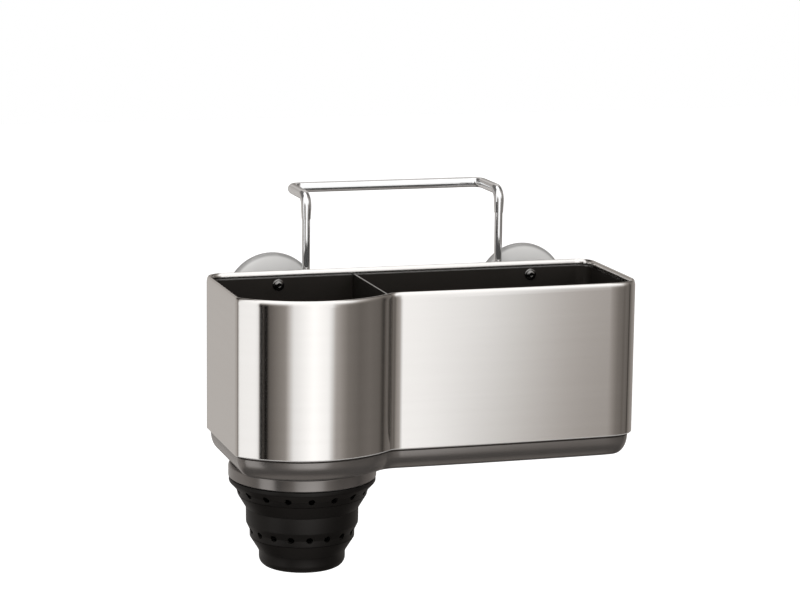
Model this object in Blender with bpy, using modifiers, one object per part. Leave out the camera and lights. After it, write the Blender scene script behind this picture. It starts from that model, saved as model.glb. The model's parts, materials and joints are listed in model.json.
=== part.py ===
"""Hanging sink caddy: a steel sleeve with a brush well and a sponge well, hung by a wire over a sink
divider. Metres, +Z up. X = 0 is midway between the hanger legs, Y = 0 is the face of the divider that
the suction cups press on, Z = 0 is the top of the divider that the hanger arms rest on. The front of
the caddy faces -Y. Every piece is an object of its own in the collection hanging_sink_caddy."""

import math

import bmesh
import bpy
from mathutils import Matrix, Vector

# Shared clearance between two pieces that touch, and the smallest radius left in a corner
GAP = 0.0003
MIN_R = 0.0006

# Hanger: wire sizes, leg spacing, arm depth and bends
BAR_R = 0.0028
ROD_R = 0.0022
LEG_SPACING = 0.1100
ARM_DEPTH = 0.0330
ARM_BEND_R = 0.0060
PLAN_BEND_R = 0.0055
BAR_END_DROP = 0.0125
SOCKET_DEPTH = 0.0060
BEND_STEPS = 8

# Sleeve: place of the brush axis, plan outline, height and hem
BACK_Y = -0.0140
RIM_Z = -0.0365
AXIS_X = -0.0690
AXIS_TO_BACK = 0.0430
AXIS_TO_LEFT = 0.0440
AXIS_TO_RIGHT = 0.1770
AXIS_TO_PANEL = 0.0365
BULGE_R = 0.0572
BULGE_BACK = 0.0056
REAR_CORNER_R = 0.0100
FRONT_CORNER_R = 0.0140
SIDE_CORNER_R = 0.0050
JUNCTION_R = 0.0080
STEEL_H = 0.0831
STEEL_T = 0.0008
HEM_T = 0.0026
HEM_H = 0.0026
HEM_STEPS = 6
CORNER_STEPS = 7
SIDE_STEPS = 4
BULGE_STEPS = 22
JUNCTION_STEPS = 5

# Liner: floor, its height over the lower edge of the steel, and the drain slots of the sponge well
SPIGOT_H = 0.0048
FLOOR_T = 0.0020
BRUSH_HOLE_R = 0.0330
SLOT_W = 0.0040
SLOT_L = 0.0500
SLOT_COUNT = 8
SLOT_PITCH = 0.0140
SLOT_FIRST = 0.0600

# Divider between the two wells
DIVIDER_OFFSET = 0.0395
DIVIDER_T = 0.0011
DIVIDER_DROP = 0.0033
GROOVE_DEPTH = 0.0008

# Base tray, with the height of its band below the steel
TRAY_INSET = 0.0021
TRAY_BAND_H = 0.0121
TRAY_FILLET = 0.0065
TRAY_T = 0.0020
TRAY_INNER_FILLET = 0.0026
TRAY_STEPS = 5
TRAY_SLOT_W = 0.0050
TRAY_SLOT_L = 0.0300
TRAY_SLOT_COUNT = 3
TRAY_SLOT_PITCH = 0.0420
TRAY_SLOT_FIRST = 0.0670

# Collar ring under the tray
COLLAR_T = 0.0043
COLLAR_H = 0.0075
NECK_BORE_R = 0.0350
COLLAR_EDGE = 0.0007

# Silicone brush cup: profile radii, and the heights of its steps from the flange down
NECK_INNER_R = 0.0325
NECK_LIP_R = 0.0360
LIP_T = 0.0020
FLANGE_H = 0.0025
SHOULDER_R = 0.0368
SHOULDER_H = 0.0024
BAND_R = 0.0352
BAND_H = 0.0016
RIM_END_R = 0.0344
RIM_END_H = 0.0032
BAND_INNER_R = 0.0335
WEB_T = 0.0012
UPPER_WEB_H = 0.0069
MIDDLE_R = 0.0300
MIDDLE_WALL_H = 0.0086
MIDDLE_WALL_R = 0.0299
STEP_H = 0.0040
STEP_R = 0.0280
MIDDLE_END_H = 0.0037
MIDDLE_END_R = 0.0279
MIDDLE_INNER_R = 0.0280
STEP_INNER_R = 0.0258
LOWER_WEB_H = 0.0069
CUP_TOP_R = 0.0236
CUP_R = 0.0230
CUP_WALL_H = 0.0015
CUP_FOOT_H = 0.0075
CUP_FILLET = 0.0045
CUP_INNER_R = 0.0212
CUP_FLOOR_T = 0.0022
CUP_STEPS = 4
HOLE_COUNT = 18
HOLE_R = 0.0018
HOLE_TURN = math.radians(-6.8)
HOLE_RISE = 0.0003
DRAIN_R = 0.0020
DRAIN_RING_R = 0.0110
DRAIN_COUNT = 6
ROUND_STEPS = 48
HOLE_STEPS = 8
SMALL_STEPS = 12
SCREW_STEPS = 16
SUCKER_STEPS = 36

# Suction cups and the brackets that hold them and guide the rods
CUP_LEG_OFFSET = 0.0170
SUCKER_DROP = 0.0180
SUCKER_R = 0.0256
SUCKER_FLAT_R = 0.0230
SUCKER_EDGE = 0.0008
SUCKER_DEPTH = 0.0062
SUCKER_HOLLOW = 0.0031
SUCKER_NECK_R = 0.0085
SUCKER_CURVE = 4
PLUG_R = 0.0060
PLUG_L = 0.0043
BRACKET_T = 0.0072
BRACKET_TOP = 0.0030
BRACKET_LOW = 0.0330
BRACKET_OUTER = 0.0110
BRACKET_INNER = 0.0050
BRACKET_EDGE = 0.0010
ROD_STANDOFF = 0.0037
TRAVEL_UP = 0.0200
STOP_R = 0.0032
STOP_H = 0.0025
STOP_SLACK = 0.0005

# Screws through the back wall into the brackets
SCREW_SPACING = 0.0210
SCREW_HEAD_R = 0.0032
SCREW_HEAD_H = 0.0018
SCREW_HEAD_EDGE = 0.0005
HEAD_CURVE = 3
SCREW_SHANK_R = 0.0019
SCREW_L = 0.0079
DRIVE_R = 0.0014
DRIVE_DEPTH = 0.0010
CUT_OVER = 0.0010

# Values that follow from the ones above
AXIS_Y = BACK_Y - AXIS_TO_BACK
LEFT_X = AXIS_X - AXIS_TO_LEFT
RIGHT_X = AXIS_X + AXIS_TO_RIGHT
PANEL_Y = AXIS_Y - AXIS_TO_PANEL
LEG_X = LEG_SPACING / 2
LEG_Y = BACK_Y + ROD_STANDOFF
BAR_Z = BAR_R
BAR_END_Z = BAR_Z - BAR_END_DROP
LINER_OUTER = STEEL_T + GAP
LINER_INNER = HEM_T
LINER_TOP = HEM_H + GAP
TRAY_TOP = STEEL_H - SPIGOT_H
LINER_FLOOR_DEPTH = TRAY_TOP - GAP - FLOOR_T
TRAY_BOTTOM = STEEL_H + TRAY_BAND_H
COLLAR_BOTTOM = TRAY_BOTTOM + COLLAR_H
COLLAR_R = NECK_BORE_R + COLLAR_T
FLANGE_R = COLLAR_R - GAP
FLANGE_LOW = COLLAR_BOTTOM + FLANGE_H
SHOULDER_LOW = FLANGE_LOW + SHOULDER_H
BAND_LOW = SHOULDER_LOW + BAND_H
RIM_END_LOW = BAND_LOW + RIM_END_H
MIDDLE_TOP = RIM_END_LOW + UPPER_WEB_H
MIDDLE_WALL_LOW = MIDDLE_TOP + MIDDLE_WALL_H
STEP_LOW = MIDDLE_WALL_LOW + STEP_H
MIDDLE_END_LOW = STEP_LOW + MIDDLE_END_H
CUP_TOP = MIDDLE_END_LOW + LOWER_WEB_H
CUP_WALL_LOW = CUP_TOP + CUP_WALL_H
CUP_BOTTOM = CUP_WALL_LOW + CUP_FOOT_H
HOLE_ROW_1 = BAND_LOW - HOLE_RISE
HOLE_ROW_2 = STEP_LOW - HOLE_RISE
WALL_INNER_Y = BACK_Y - LINER_INNER
SUCKER_X = LEG_X + CUP_LEG_OFFSET
SUCKER_Z = RIM_Z - SUCKER_DROP
BRACKET_FRONT_Y = BACK_Y + GAP
BRACKET_BACK_Y = BRACKET_FRONT_Y + BRACKET_T
BORE_R = ROD_R + GAP
ROD_STOP_TOP = RIM_Z - BRACKET_LOW - TRAVEL_UP - STOP_SLACK


def clear_scene():
    for item in list(bpy.data.objects):
        bpy.data.objects.remove(item, do_unlink=True)
    for item in list(bpy.data.collections):
        bpy.data.collections.remove(item)


def make_collection(name):
    group = bpy.data.collections.new(name)
    bpy.context.scene.collection.children.link(group)
    return group


def material(name, color, roughness, metallic=0.0, alpha=1.0):
    made = bpy.data.materials.new(name)
    made.use_nodes = True
    shader = made.node_tree.nodes["Principled BSDF"]
    shader.inputs["Base Color"].default_value = (color[0], color[1], color[2], 1.0)
    shader.inputs["Roughness"].default_value = roughness
    shader.inputs["Metallic"].default_value = metallic
    shader.inputs["Alpha"].default_value = alpha
    made.diffuse_color = (color[0], color[1], color[2], alpha)
    return made


clear_scene()
PARTS = make_collection("hanging_sink_caddy")
CUTTERS = make_collection("cutters")

STEEL = material("brushed_steel", (0.62, 0.60, 0.58), 0.30, 1.0)
CHROME = material("chrome", (0.78, 0.78, 0.78), 0.08, 1.0)
SCREW_STEEL = material("screw_steel", (0.55, 0.54, 0.52), 0.28, 1.0)
BLACK = material("black_plastic", (0.012, 0.011, 0.011), 0.45)
SMOKE = material("smoke_plastic", (0.075, 0.067, 0.062), 0.18)
BRACKET = material("bracket_plastic", (0.030, 0.030, 0.030), 0.50)
SILICONE = material("black_silicone", (0.012, 0.012, 0.012), 0.55)
CLEAR = material("clear_vinyl", (0.55, 0.55, 0.55), 0.30)


def add_object(name, mesh, mat, group):
    made = bpy.data.objects.new(name, mesh)
    group.objects.link(made)
    if mat is not None:
        mesh.materials.append(mat)
    return made


def mesh_from(name, verts, faces):
    mesh = bpy.data.meshes.new(name)
    mesh.from_pydata([tuple(v) for v in verts], [], faces)
    mesh.update()
    return mesh


def smooth(item, angle=35.0):
    for face in item.data.polygons:
        face.use_smooth = True
    item.data.set_sharp_from_angle(angle=math.radians(angle))


def apply_modifiers(item):
    bpy.context.view_layer.update()
    graph = bpy.context.evaluated_depsgraph_get()
    fresh = bpy.data.meshes.new_from_object(item.evaluated_get(graph))
    old = item.data
    item.modifiers.clear()
    item.data = fresh
    bpy.data.meshes.remove(old)


def cutter(name, mesh):
    made = add_object(name, mesh, None, CUTTERS)
    made.display_type = "WIRE"
    made.hide_render = True
    return made


def box_mesh(name, low, high):
    mesh = bpy.data.meshes.new(name)
    work = bmesh.new()
    bmesh.ops.create_cube(work, size=1.0)
    size = Vector(high) - Vector(low)
    middle = (Vector(high) + Vector(low)) / 2
    for vert in work.verts:
        vert.co = Vector(a * b for a, b in zip(vert.co, size)) + middle
    work.to_mesh(mesh)
    work.free()
    return mesh


def cylinder_mesh(name, radius, low, high, steps, turn=None):
    """A cylinder about Z between two heights; turn moves it to its place."""
    mesh = bpy.data.meshes.new(name)
    work = bmesh.new()
    bmesh.ops.create_cone(work, cap_ends=True, segments=steps, radius1=radius, radius2=radius,
                          depth=high - low)
    bmesh.ops.translate(work, verts=work.verts, vec=(0.0, 0.0, (low + high) / 2))
    if turn is not None:
        bmesh.ops.transform(work, matrix=turn, verts=work.verts)
    work.to_mesh(mesh)
    work.free()
    return mesh


def boolean(item, tool, operation="DIFFERENCE"):
    step = item.modifiers.new(tool.name, "BOOLEAN")
    step.operation = operation
    step.solver = "EXACT"
    step.object = tool


def outline(inset):
    """Plan of the sleeve, offset inwards, anticlockwise seen from above."""
    left = AXIS_TO_LEFT - inset
    right = AXIS_TO_RIGHT - inset
    back = AXIS_TO_BACK - inset
    panel = AXIS_TO_PANEL - inset
    bulge = BULGE_R - inset
    side_r = max(SIDE_CORNER_R - inset, MIN_R)
    front_r = max(FRONT_CORNER_R - inset, MIN_R)
    rear_r = max(REAR_CORNER_R - inset, MIN_R)
    join_r = JUNCTION_R + inset
    side_x = side_r - left
    side_y = BULGE_BACK - math.sqrt((bulge - side_r) ** 2 - side_x ** 2)
    join_y = -panel - join_r
    join_x = math.sqrt((bulge + join_r) ** 2 - (join_y - BULGE_BACK) ** 2)
    start = math.atan2(side_y - BULGE_BACK, side_x) + math.tau
    stop = math.atan2(join_y - BULGE_BACK, join_x) + math.tau
    points = []

    def arc(x, y, radius, first, last, steps, skip_first=False):
        for i in range(1 if skip_first else 0, steps + 1):
            angle = first + (last - first) * i / steps
            points.append((AXIS_X + x + radius * math.cos(angle), AXIS_Y + y + radius * math.sin(angle)))

    quarter = math.pi / 2
    arc(side_x, side_y, side_r, math.pi, start, SIDE_STEPS)
    arc(0.0, BULGE_BACK, bulge, start, stop, BULGE_STEPS, True)
    arc(join_x, join_y, join_r, stop - math.pi, quarter, JUNCTION_STEPS, True)
    arc(right - front_r, front_r - panel, front_r, 3 * quarter, 4 * quarter, CORNER_STEPS)
    arc(right - rear_r, back - rear_r, rear_r, 0.0, quarter, CORNER_STEPS)
    arc(rear_r - left, back - rear_r, rear_r, quarter, 2 * quarter, CORNER_STEPS)
    return points


def loft(name, profile, mat, closed):
    """Rings of the plan outline at (inset, depth below the rim), bridged; capped when not closed."""
    verts = []
    faces = []
    rings = []
    for inset, depth in profile:
        ring = []
        for x, y in outline(inset):
            ring.append(len(verts))
            verts.append((x, y, RIM_Z - depth))
        rings.append(ring)
    pairs = list(zip(rings, rings[1:]))
    if closed:
        pairs.append((rings[-1], rings[0]))
    count = len(rings[0])
    for upper, lower in pairs:
        for i in range(count):
            j = (i + 1) % count
            faces.append((upper[i], lower[i], lower[j], upper[j]))
    if not closed:
        faces.append(tuple(rings[0]))
        faces.append(tuple(reversed(rings[-1])))
    return add_object(name, mesh_from(name, verts, faces), mat, PARTS)


def revolve(name, profile, mat, place, closed=True, steps=ROUND_STEPS, turn=None):
    """A Screw of the profile about its own Z axis; the profile runs down its outer side."""
    mesh = bpy.data.meshes.new(name)
    last = len(profile) - 1
    edges = [(i, i + 1) for i in range(last)]
    if closed:
        edges.append((last, 0))
    mesh.from_pydata([(r, 0.0, z) for r, z in profile], edges, [])
    made = add_object(name, mesh, mat, PARTS)
    screw = made.modifiers.new("Screw", "SCREW")
    screw.steps = steps
    screw.render_steps = steps
    screw.use_merge_vertices = True
    screw.merge_threshold = 0.00001
    screw.use_normal_calculate = False
    apply_modifiers(made)
    work = bmesh.new()
    work.from_mesh(made.data)
    bmesh.ops.remove_doubles(work, verts=work.verts, dist=0.00001)
    bmesh.ops.recalc_face_normals(work, faces=work.faces)
    work.to_mesh(made.data)
    work.free()
    made.location = place
    if turn is not None:
        made.rotation_euler = turn
    return made


def below_rim(depth):
    return RIM_Z - depth


# Steel sleeve with a closed hem round its top edge
def hem_curve():
    radius = HEM_T / 2
    points = []
    for i in range(HEM_STEPS + 1):
        angle = math.pi * i / HEM_STEPS
        points.append((radius - radius * math.cos(angle), radius - radius * math.sin(angle)))
    return points


hem = hem_curve()
sleeve_profile = list(reversed(hem))
sleeve_profile.append((0.0, STEEL_H))
sleeve_profile.append((STEEL_T, STEEL_H))
sleeve_profile.append((STEEL_T, HEM_H))
sleeve_profile.append((HEM_T, HEM_H))
sleeve = loft("steel_sleeve", sleeve_profile, STEEL, True)

# Black liner: wall under the hem and a floor
liner_profile = [
    (LINER_INNER, LINER_FLOOR_DEPTH),
    (LINER_INNER, LINER_TOP),
    (LINER_OUTER, LINER_TOP),
    (LINER_OUTER, LINER_FLOOR_DEPTH + FLOOR_T),
]
liner = loft("liner", liner_profile, BLACK, False)

# Round hole of the brush well and the drain slots of the sponge well
brush_hole = cutter("brush_hole", cylinder_mesh(
    "brush_hole", BRUSH_HOLE_R, below_rim(LINER_FLOOR_DEPTH + FLOOR_T + CUT_OVER),
    below_rim(LINER_FLOOR_DEPTH - CUT_OVER), ROUND_STEPS, Matrix.Translation((AXIS_X, AXIS_Y, 0.0))))
boolean(liner, brush_hole)
slot_middle_y = (PANEL_Y + BACK_Y) / 2
slots = bpy.data.meshes.new("liner_slots")
work = bmesh.new()
for n in range(SLOT_COUNT):
    slot_x = AXIS_X + SLOT_FIRST + SLOT_PITCH * n
    piece = box_mesh("slot", (slot_x - SLOT_W / 2, slot_middle_y - SLOT_L / 2,
                              below_rim(LINER_FLOOR_DEPTH + FLOOR_T + CUT_OVER)),
                     (slot_x + SLOT_W / 2, slot_middle_y + SLOT_L / 2,
                      below_rim(LINER_FLOOR_DEPTH - CUT_OVER)))
    work.from_mesh(piece)
    bpy.data.meshes.remove(piece)
work.to_mesh(slots)
work.free()
boolean(liner, cutter("liner_slots", slots))

# Groove for the divider in the liner walls and floor
divider_x = AXIS_X + DIVIDER_OFFSET
groove_half = DIVIDER_T / 2 + GAP
groove_inset = LINER_INNER - GROOVE_DEPTH
boolean(liner, cutter("divider_groove", box_mesh(
    "divider_groove",
    (divider_x - groove_half, PANEL_Y + groove_inset, below_rim(LINER_FLOOR_DEPTH + GROOVE_DEPTH)),
    (divider_x + groove_half, BACK_Y - groove_inset, below_rim(LINER_TOP - CUT_OVER)))))

# Divider plate standing in the groove
plate_inset = groove_inset + GAP
divider = add_object("divider_plate", box_mesh(
    "divider_plate",
    (divider_x - DIVIDER_T / 2, PANEL_Y + plate_inset, below_rim(LINER_FLOOR_DEPTH + GROOVE_DEPTH - GAP)),
    (divider_x + DIVIDER_T / 2, BACK_Y - plate_inset, below_rim(DIVIDER_DROP))), BLACK, PARTS)

# Base tray: a spigot inside the sleeve, a visible band below it and a round bottom edge
tray_spigot = LINER_OUTER
tray_step = STEEL_H + GAP
tray_profile = []
tray_floor_depth = TRAY_BOTTOM - TRAY_T
tray_inner_r = TRAY_INNER_FILLET
tray_inner = TRAY_INSET + TRAY_T
for i in range(TRAY_STEPS + 1):
    angle = math.pi / 2 * i / TRAY_STEPS
    tray_profile.append((tray_inner + tray_inner_r - tray_inner_r * math.sin(angle),
                         tray_floor_depth - tray_inner_r + tray_inner_r * math.cos(angle)))
tray_profile.append((tray_inner, TRAY_TOP))
tray_profile.append((tray_spigot, TRAY_TOP))
tray_profile.append((tray_spigot, tray_step))
tray_profile.append((TRAY_INSET, tray_step + GAP))
for i in range(TRAY_STEPS + 1):
    angle = math.pi / 2 * i / TRAY_STEPS
    tray_profile.append((TRAY_INSET + TRAY_FILLET - TRAY_FILLET * math.cos(angle),
                         TRAY_BOTTOM - TRAY_FILLET + TRAY_FILLET * math.sin(angle)))
tray = loft("base_tray", tray_profile, SMOKE, False)
boolean(tray, cutter("neck_hole", cylinder_mesh(
    "neck_hole", NECK_BORE_R, below_rim(TRAY_BOTTOM + CUT_OVER), below_rim(tray_floor_depth - CUT_OVER),
    ROUND_STEPS, Matrix.Translation((AXIS_X, AXIS_Y, 0.0)))))
tray_slots = bpy.data.meshes.new("tray_slots")
work = bmesh.new()
for n in range(TRAY_SLOT_COUNT):
    slot_x = AXIS_X + TRAY_SLOT_FIRST + TRAY_SLOT_PITCH * n
    piece = box_mesh("slot", (slot_x - TRAY_SLOT_W / 2, slot_middle_y - TRAY_SLOT_L / 2,
                              below_rim(TRAY_BOTTOM + CUT_OVER)),
                     (slot_x + TRAY_SLOT_W / 2, slot_middle_y + TRAY_SLOT_L / 2,
                      below_rim(tray_floor_depth - CUT_OVER)))
    work.from_mesh(piece)
    bpy.data.meshes.remove(piece)
work.to_mesh(tray_slots)
work.free()
boolean(tray, cutter("tray_slots", tray_slots))

# Collar ring: sits on the neck of the silicone cup, under the tray
collar_top = TRAY_BOTTOM + GAP
axis_point = (AXIS_X, AXIS_Y, RIM_Z)
collar = revolve("collar_ring", [
    (NECK_BORE_R, -collar_top),
    (COLLAR_R - COLLAR_EDGE, -collar_top),
    (COLLAR_R, -collar_top - COLLAR_EDGE),
    (COLLAR_R, -COLLAR_BOTTOM + COLLAR_EDGE),
    (COLLAR_R - COLLAR_EDGE, -COLLAR_BOTTOM),
    (NECK_BORE_R, -COLLAR_BOTTOM),
], SMOKE, axis_point)

# Silicone cup rim: a lip on the tray floor, the neck, the flange and the first band with holes
lip_low = tray_floor_depth - GAP
neck_r = NECK_BORE_R - GAP
cup_rim = revolve("cup_rim", [
    (NECK_LIP_R, -lip_low + LIP_T),
    (NECK_LIP_R, -lip_low),
    (neck_r, -lip_low),
    (neck_r, -COLLAR_BOTTOM - GAP),
    (FLANGE_R, -COLLAR_BOTTOM - GAP),
    (FLANGE_R, -FLANGE_LOW),
    (SHOULDER_R, -SHOULDER_LOW),
    (BAND_R, -BAND_LOW),
    (RIM_END_R, -RIM_END_LOW),
    (RIM_END_R - WEB_T, -RIM_END_LOW),
    (BAND_INNER_R, -BAND_LOW),
    (NECK_INNER_R, -SHOULDER_LOW),
    (NECK_INNER_R, -lip_low + LIP_T),
], SILICONE, axis_point)


def hole_row(name, depth, reach):
    """Radial holes on even angles, as crossing rods."""
    mesh = bpy.data.meshes.new(name)
    work = bmesh.new()
    for i in range(HOLE_COUNT):
        angle = HOLE_TURN + math.tau * i / HOLE_COUNT - math.pi / 2
        spot = Matrix.Translation((AXIS_X, AXIS_Y, below_rim(depth)))
        aim = Matrix.Rotation(angle, 4, "Z") @ Matrix.Rotation(math.pi / 2, 4, "Y")
        piece = cylinder_mesh("hole", HOLE_R, reach / 2, reach, HOLE_STEPS, spot @ aim)
        work.from_mesh(piece)
        bpy.data.meshes.remove(piece)
    work.to_mesh(mesh)
    work.free()
    return cutter(name, mesh)


boolean(cup_rim, hole_row("hole_row_1", HOLE_ROW_1, FLANGE_R + CUT_OVER))

# Upper fold of the silicone cup
web_top = RIM_END_LOW + GAP
web_low = MIDDLE_TOP - GAP
revolve("upper_web", [
    (RIM_END_R, -web_top),
    (MIDDLE_R + WEB_T / 4, -web_low),
    (MIDDLE_R - WEB_T * 3 / 4, -web_low),
    (RIM_END_R - WEB_T, -web_top),
], SILICONE, axis_point)

# Middle ring with the second row of holes
middle = revolve("middle_ring", [
    (MIDDLE_R, -MIDDLE_TOP),
    (MIDDLE_WALL_R, -MIDDLE_WALL_LOW),
    (STEP_R, -STEP_LOW),
    (MIDDLE_END_R, -MIDDLE_END_LOW),
    (STEP_INNER_R, -MIDDLE_END_LOW),
    (STEP_INNER_R, -STEP_LOW),
    (MIDDLE_INNER_R, -MIDDLE_WALL_LOW),
    (MIDDLE_INNER_R, -MIDDLE_TOP),
], SILICONE, axis_point)
boolean(middle, hole_row("hole_row_2", HOLE_ROW_2, MIDDLE_R + CUT_OVER))

# Lower fold of the silicone cup
fold_top = MIDDLE_END_LOW + GAP
fold_low = CUP_TOP - GAP
revolve("lower_web", [
    (MIDDLE_END_R, -fold_top),
    (CUP_TOP_R, -fold_low),
    (CUP_TOP_R - WEB_T, -fold_low),
    (MIDDLE_END_R - WEB_T, -fold_top),
], SILICONE, axis_point)

# Bottom cup with drain holes in its floor
cup_profile = [(CUP_TOP_R, -CUP_TOP), (CUP_R, -CUP_WALL_LOW)]
for i in range(CUP_STEPS + 1):
    angle = math.pi / 2 * i / CUP_STEPS
    cup_profile.append((CUP_R - CUP_FILLET + CUP_FILLET * math.cos(angle),
                        -CUP_BOTTOM + CUP_FILLET - CUP_FILLET * math.sin(angle)))
cup_profile.append((0.0, -CUP_BOTTOM))
cup_profile.append((0.0, -CUP_BOTTOM + CUP_FLOOR_T))
cup_profile.append((CUP_INNER_R - CUP_FILLET / 2, -CUP_BOTTOM + CUP_FLOOR_T))
cup_profile.append((CUP_INNER_R, -CUP_BOTTOM + CUP_FLOOR_T + CUP_FILLET / 2))
cup_profile.append((CUP_INNER_R, -CUP_TOP))
cup_bottom = revolve("cup_bottom", cup_profile, SILICONE, axis_point)
drains = bpy.data.meshes.new("cup_drains")
work = bmesh.new()
drain_spots = [(0.0, 0.0)]
for i in range(DRAIN_COUNT):
    angle = math.tau * i / DRAIN_COUNT
    drain_spots.append((DRAIN_RING_R * math.cos(angle), DRAIN_RING_R * math.sin(angle)))
for x, y in drain_spots:
    piece = cylinder_mesh("drain", DRAIN_R, below_rim(CUP_BOTTOM + CUT_OVER),
                          below_rim(CUP_BOTTOM - CUP_FLOOR_T - CUT_OVER), SMALL_STEPS,
                          Matrix.Translation((AXIS_X + x, AXIS_Y + y, 0.0)))
    work.from_mesh(piece)
    bpy.data.meshes.remove(piece)
work.to_mesh(drains)
work.free()
boolean(cup_bottom, cutter("cup_drains", drains))


# Hanger bar: one thick wire from leg to leg, over the divider and along its far side
def hanger_path():
    points = []
    back_y = LEG_Y + ARM_DEPTH
    for side in (-1, 1):
        run = [Vector((side * LEG_X, LEG_Y, BAR_END_Z))]
        centre = Vector((side * LEG_X, LEG_Y + ARM_BEND_R, BAR_Z - ARM_BEND_R))
        for i in range(BEND_STEPS + 1):
            angle = math.pi / 2 * i / BEND_STEPS
            run.append(centre + Vector((0.0, -math.cos(angle), math.sin(angle))) * ARM_BEND_R)
        centre = Vector((side * (LEG_X - PLAN_BEND_R), back_y - PLAN_BEND_R, BAR_Z))
        for i in range(BEND_STEPS + 1):
            angle = math.pi / 2 * i / BEND_STEPS
            run.append(centre + Vector((side * math.cos(angle), math.sin(angle), 0.0)) * PLAN_BEND_R)
        points.append(run)
    return points[0] + list(reversed(points[1]))


def tube(name, points, radius, mat):
    curve = bpy.data.curves.new(name, "CURVE")
    curve.dimensions = "3D"
    spline = curve.splines.new("POLY")
    spline.points.add(len(points) - 1)
    for spot, point in zip(spline.points, points):
        spot.co = (point.x, point.y, point.z, 1.0)
    curve.bevel_depth = radius
    curve.bevel_resolution = 4
    curve.use_fill_caps = True
    holder = bpy.data.objects.new(name + "_curve", curve)
    PARTS.objects.link(holder)
    bpy.context.view_layer.update()
    graph = bpy.context.evaluated_depsgraph_get()
    mesh = bpy.data.meshes.new_from_object(holder.evaluated_get(graph))
    bpy.data.objects.remove(holder, do_unlink=True)
    bpy.data.curves.remove(curve)
    work = bmesh.new()
    work.from_mesh(mesh)
    bmesh.ops.remove_doubles(work, verts=work.verts, dist=0.00001)
    bmesh.ops.recalc_face_normals(work, faces=work.faces)
    work.to_mesh(mesh)
    work.free()
    mesh.materials.clear()
    mesh.name = name
    return add_object(name, mesh, mat, PARTS)


hanger_bar = tube("hanger_bar", hanger_path(), BAR_R, CHROME)
sockets = bpy.data.meshes.new("bar_sockets")
work = bmesh.new()
for side in (-1, 1):
    piece = cylinder_mesh("socket", BORE_R, BAR_END_Z - CUT_OVER, BAR_END_Z + SOCKET_DEPTH, SCREW_STEPS,
                          Matrix.Translation((side * LEG_X, LEG_Y, 0.0)))
    work.from_mesh(piece)
    bpy.data.meshes.remove(piece)
work.to_mesh(sockets)
work.free()
boolean(hanger_bar, cutter("bar_sockets", sockets))

# Rods in the sockets of the bar, running down through the brackets to a stop
for side, word in ((-1, "left"), (1, "right")):
    spot = Matrix.Translation((side * LEG_X, LEG_Y, 0.0))
    rod = add_object(word + "_rod", cylinder_mesh(
        word + "_rod", ROD_R, ROD_STOP_TOP - STOP_H, BAR_END_Z + SOCKET_DEPTH - GAP, SCREW_STEPS, spot),
        CHROME, PARTS)
    stop = revolve(word + "_rod_stop", [
        (STOP_R, ROD_STOP_TOP), (STOP_R, ROD_STOP_TOP - STOP_H),
        (BORE_R, ROD_STOP_TOP - STOP_H), (BORE_R, ROD_STOP_TOP),
    ], BRACKET, (side * LEG_X, LEG_Y, 0.0), True, SCREW_STEPS)

# Brackets behind the back wall: rod bore, socket for the cup, screw holes
for side, word in ((-1, "left"), (1, "right")):
    cup_x = side * SUCKER_X
    edges = sorted((side * (LEG_X - BRACKET_INNER), side * (SUCKER_X + BRACKET_OUTER)))
    bracket = add_object(word + "_bracket", box_mesh(
        word + "_bracket", (edges[0], BRACKET_FRONT_Y, below_rim(BRACKET_LOW)),
        (edges[1], BRACKET_BACK_Y, below_rim(BRACKET_TOP))), BRACKET, PARTS)
    bevel = bracket.modifiers.new("Bevel", "BEVEL")
    bevel.width = BRACKET_EDGE
    bevel.segments = 2
    bevel.limit_method = "ANGLE"
    boolean(bracket, cutter(word + "_rod_bore", cylinder_mesh(
        word + "_rod_bore", BORE_R, below_rim(BRACKET_LOW + CUT_OVER), below_rim(BRACKET_TOP - CUT_OVER),
        SCREW_STEPS, Matrix.Translation((side * LEG_X, LEG_Y, 0.0)))))
    aim = Matrix.Rotation(-math.pi / 2, 4, "X")
    boolean(bracket, cutter(word + "_plug_socket", cylinder_mesh(
        word + "_plug_socket", PLUG_R + GAP, -PLUG_L - GAP, CUT_OVER, SUCKER_STEPS,
        Matrix.Translation((cup_x, BRACKET_BACK_Y, SUCKER_Z)) @ aim)))
    for row, level in (("upper", 1), ("lower", -1)):
        spot = Matrix.Translation((cup_x, WALL_INNER_Y - GAP, SUCKER_Z + level * SCREW_SPACING / 2))
        pilot = cutter(word + "_" + row + "_pilot", cylinder_mesh(
            word + "_" + row + "_pilot", SCREW_SHANK_R + GAP, -CUT_OVER, SCREW_L + GAP, SCREW_STEPS,
            spot @ aim))
        boolean(bracket, pilot)
        boolean(liner, pilot)
        boolean(sleeve, pilot)

# Suction cups: flat lip ring on Y = 0, dome towards the bracket, plug in its socket
for side, word in ((-1, "left"), (1, "right")):
    dome = [(SUCKER_R, 0.0)]
    hollow = []
    for i in range(SUCKER_CURVE + 1):
        turn = math.pi / 2 * i / SUCKER_CURVE
        dome.append((SUCKER_R - (SUCKER_R - SUCKER_NECK_R) * (1.0 - math.cos(turn)),
                     -SUCKER_EDGE - (SUCKER_DEPTH - SUCKER_EDGE) * math.sin(turn)))
        hollow.append((SUCKER_FLAT_R * math.sin(turn), -SUCKER_HOLLOW * math.cos(turn)))
    plug = [(PLUG_R, -SUCKER_DEPTH), (PLUG_R, BRACKET_BACK_Y - PLUG_L), (0.0, BRACKET_BACK_Y - PLUG_L)]
    revolve(word + "_suction_cup", dome + plug + hollow, CLEAR,
            (side * SUCKER_X, 0.0, SUCKER_Z), True, SUCKER_STEPS, (-math.pi / 2, 0.0, 0.0))

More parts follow.
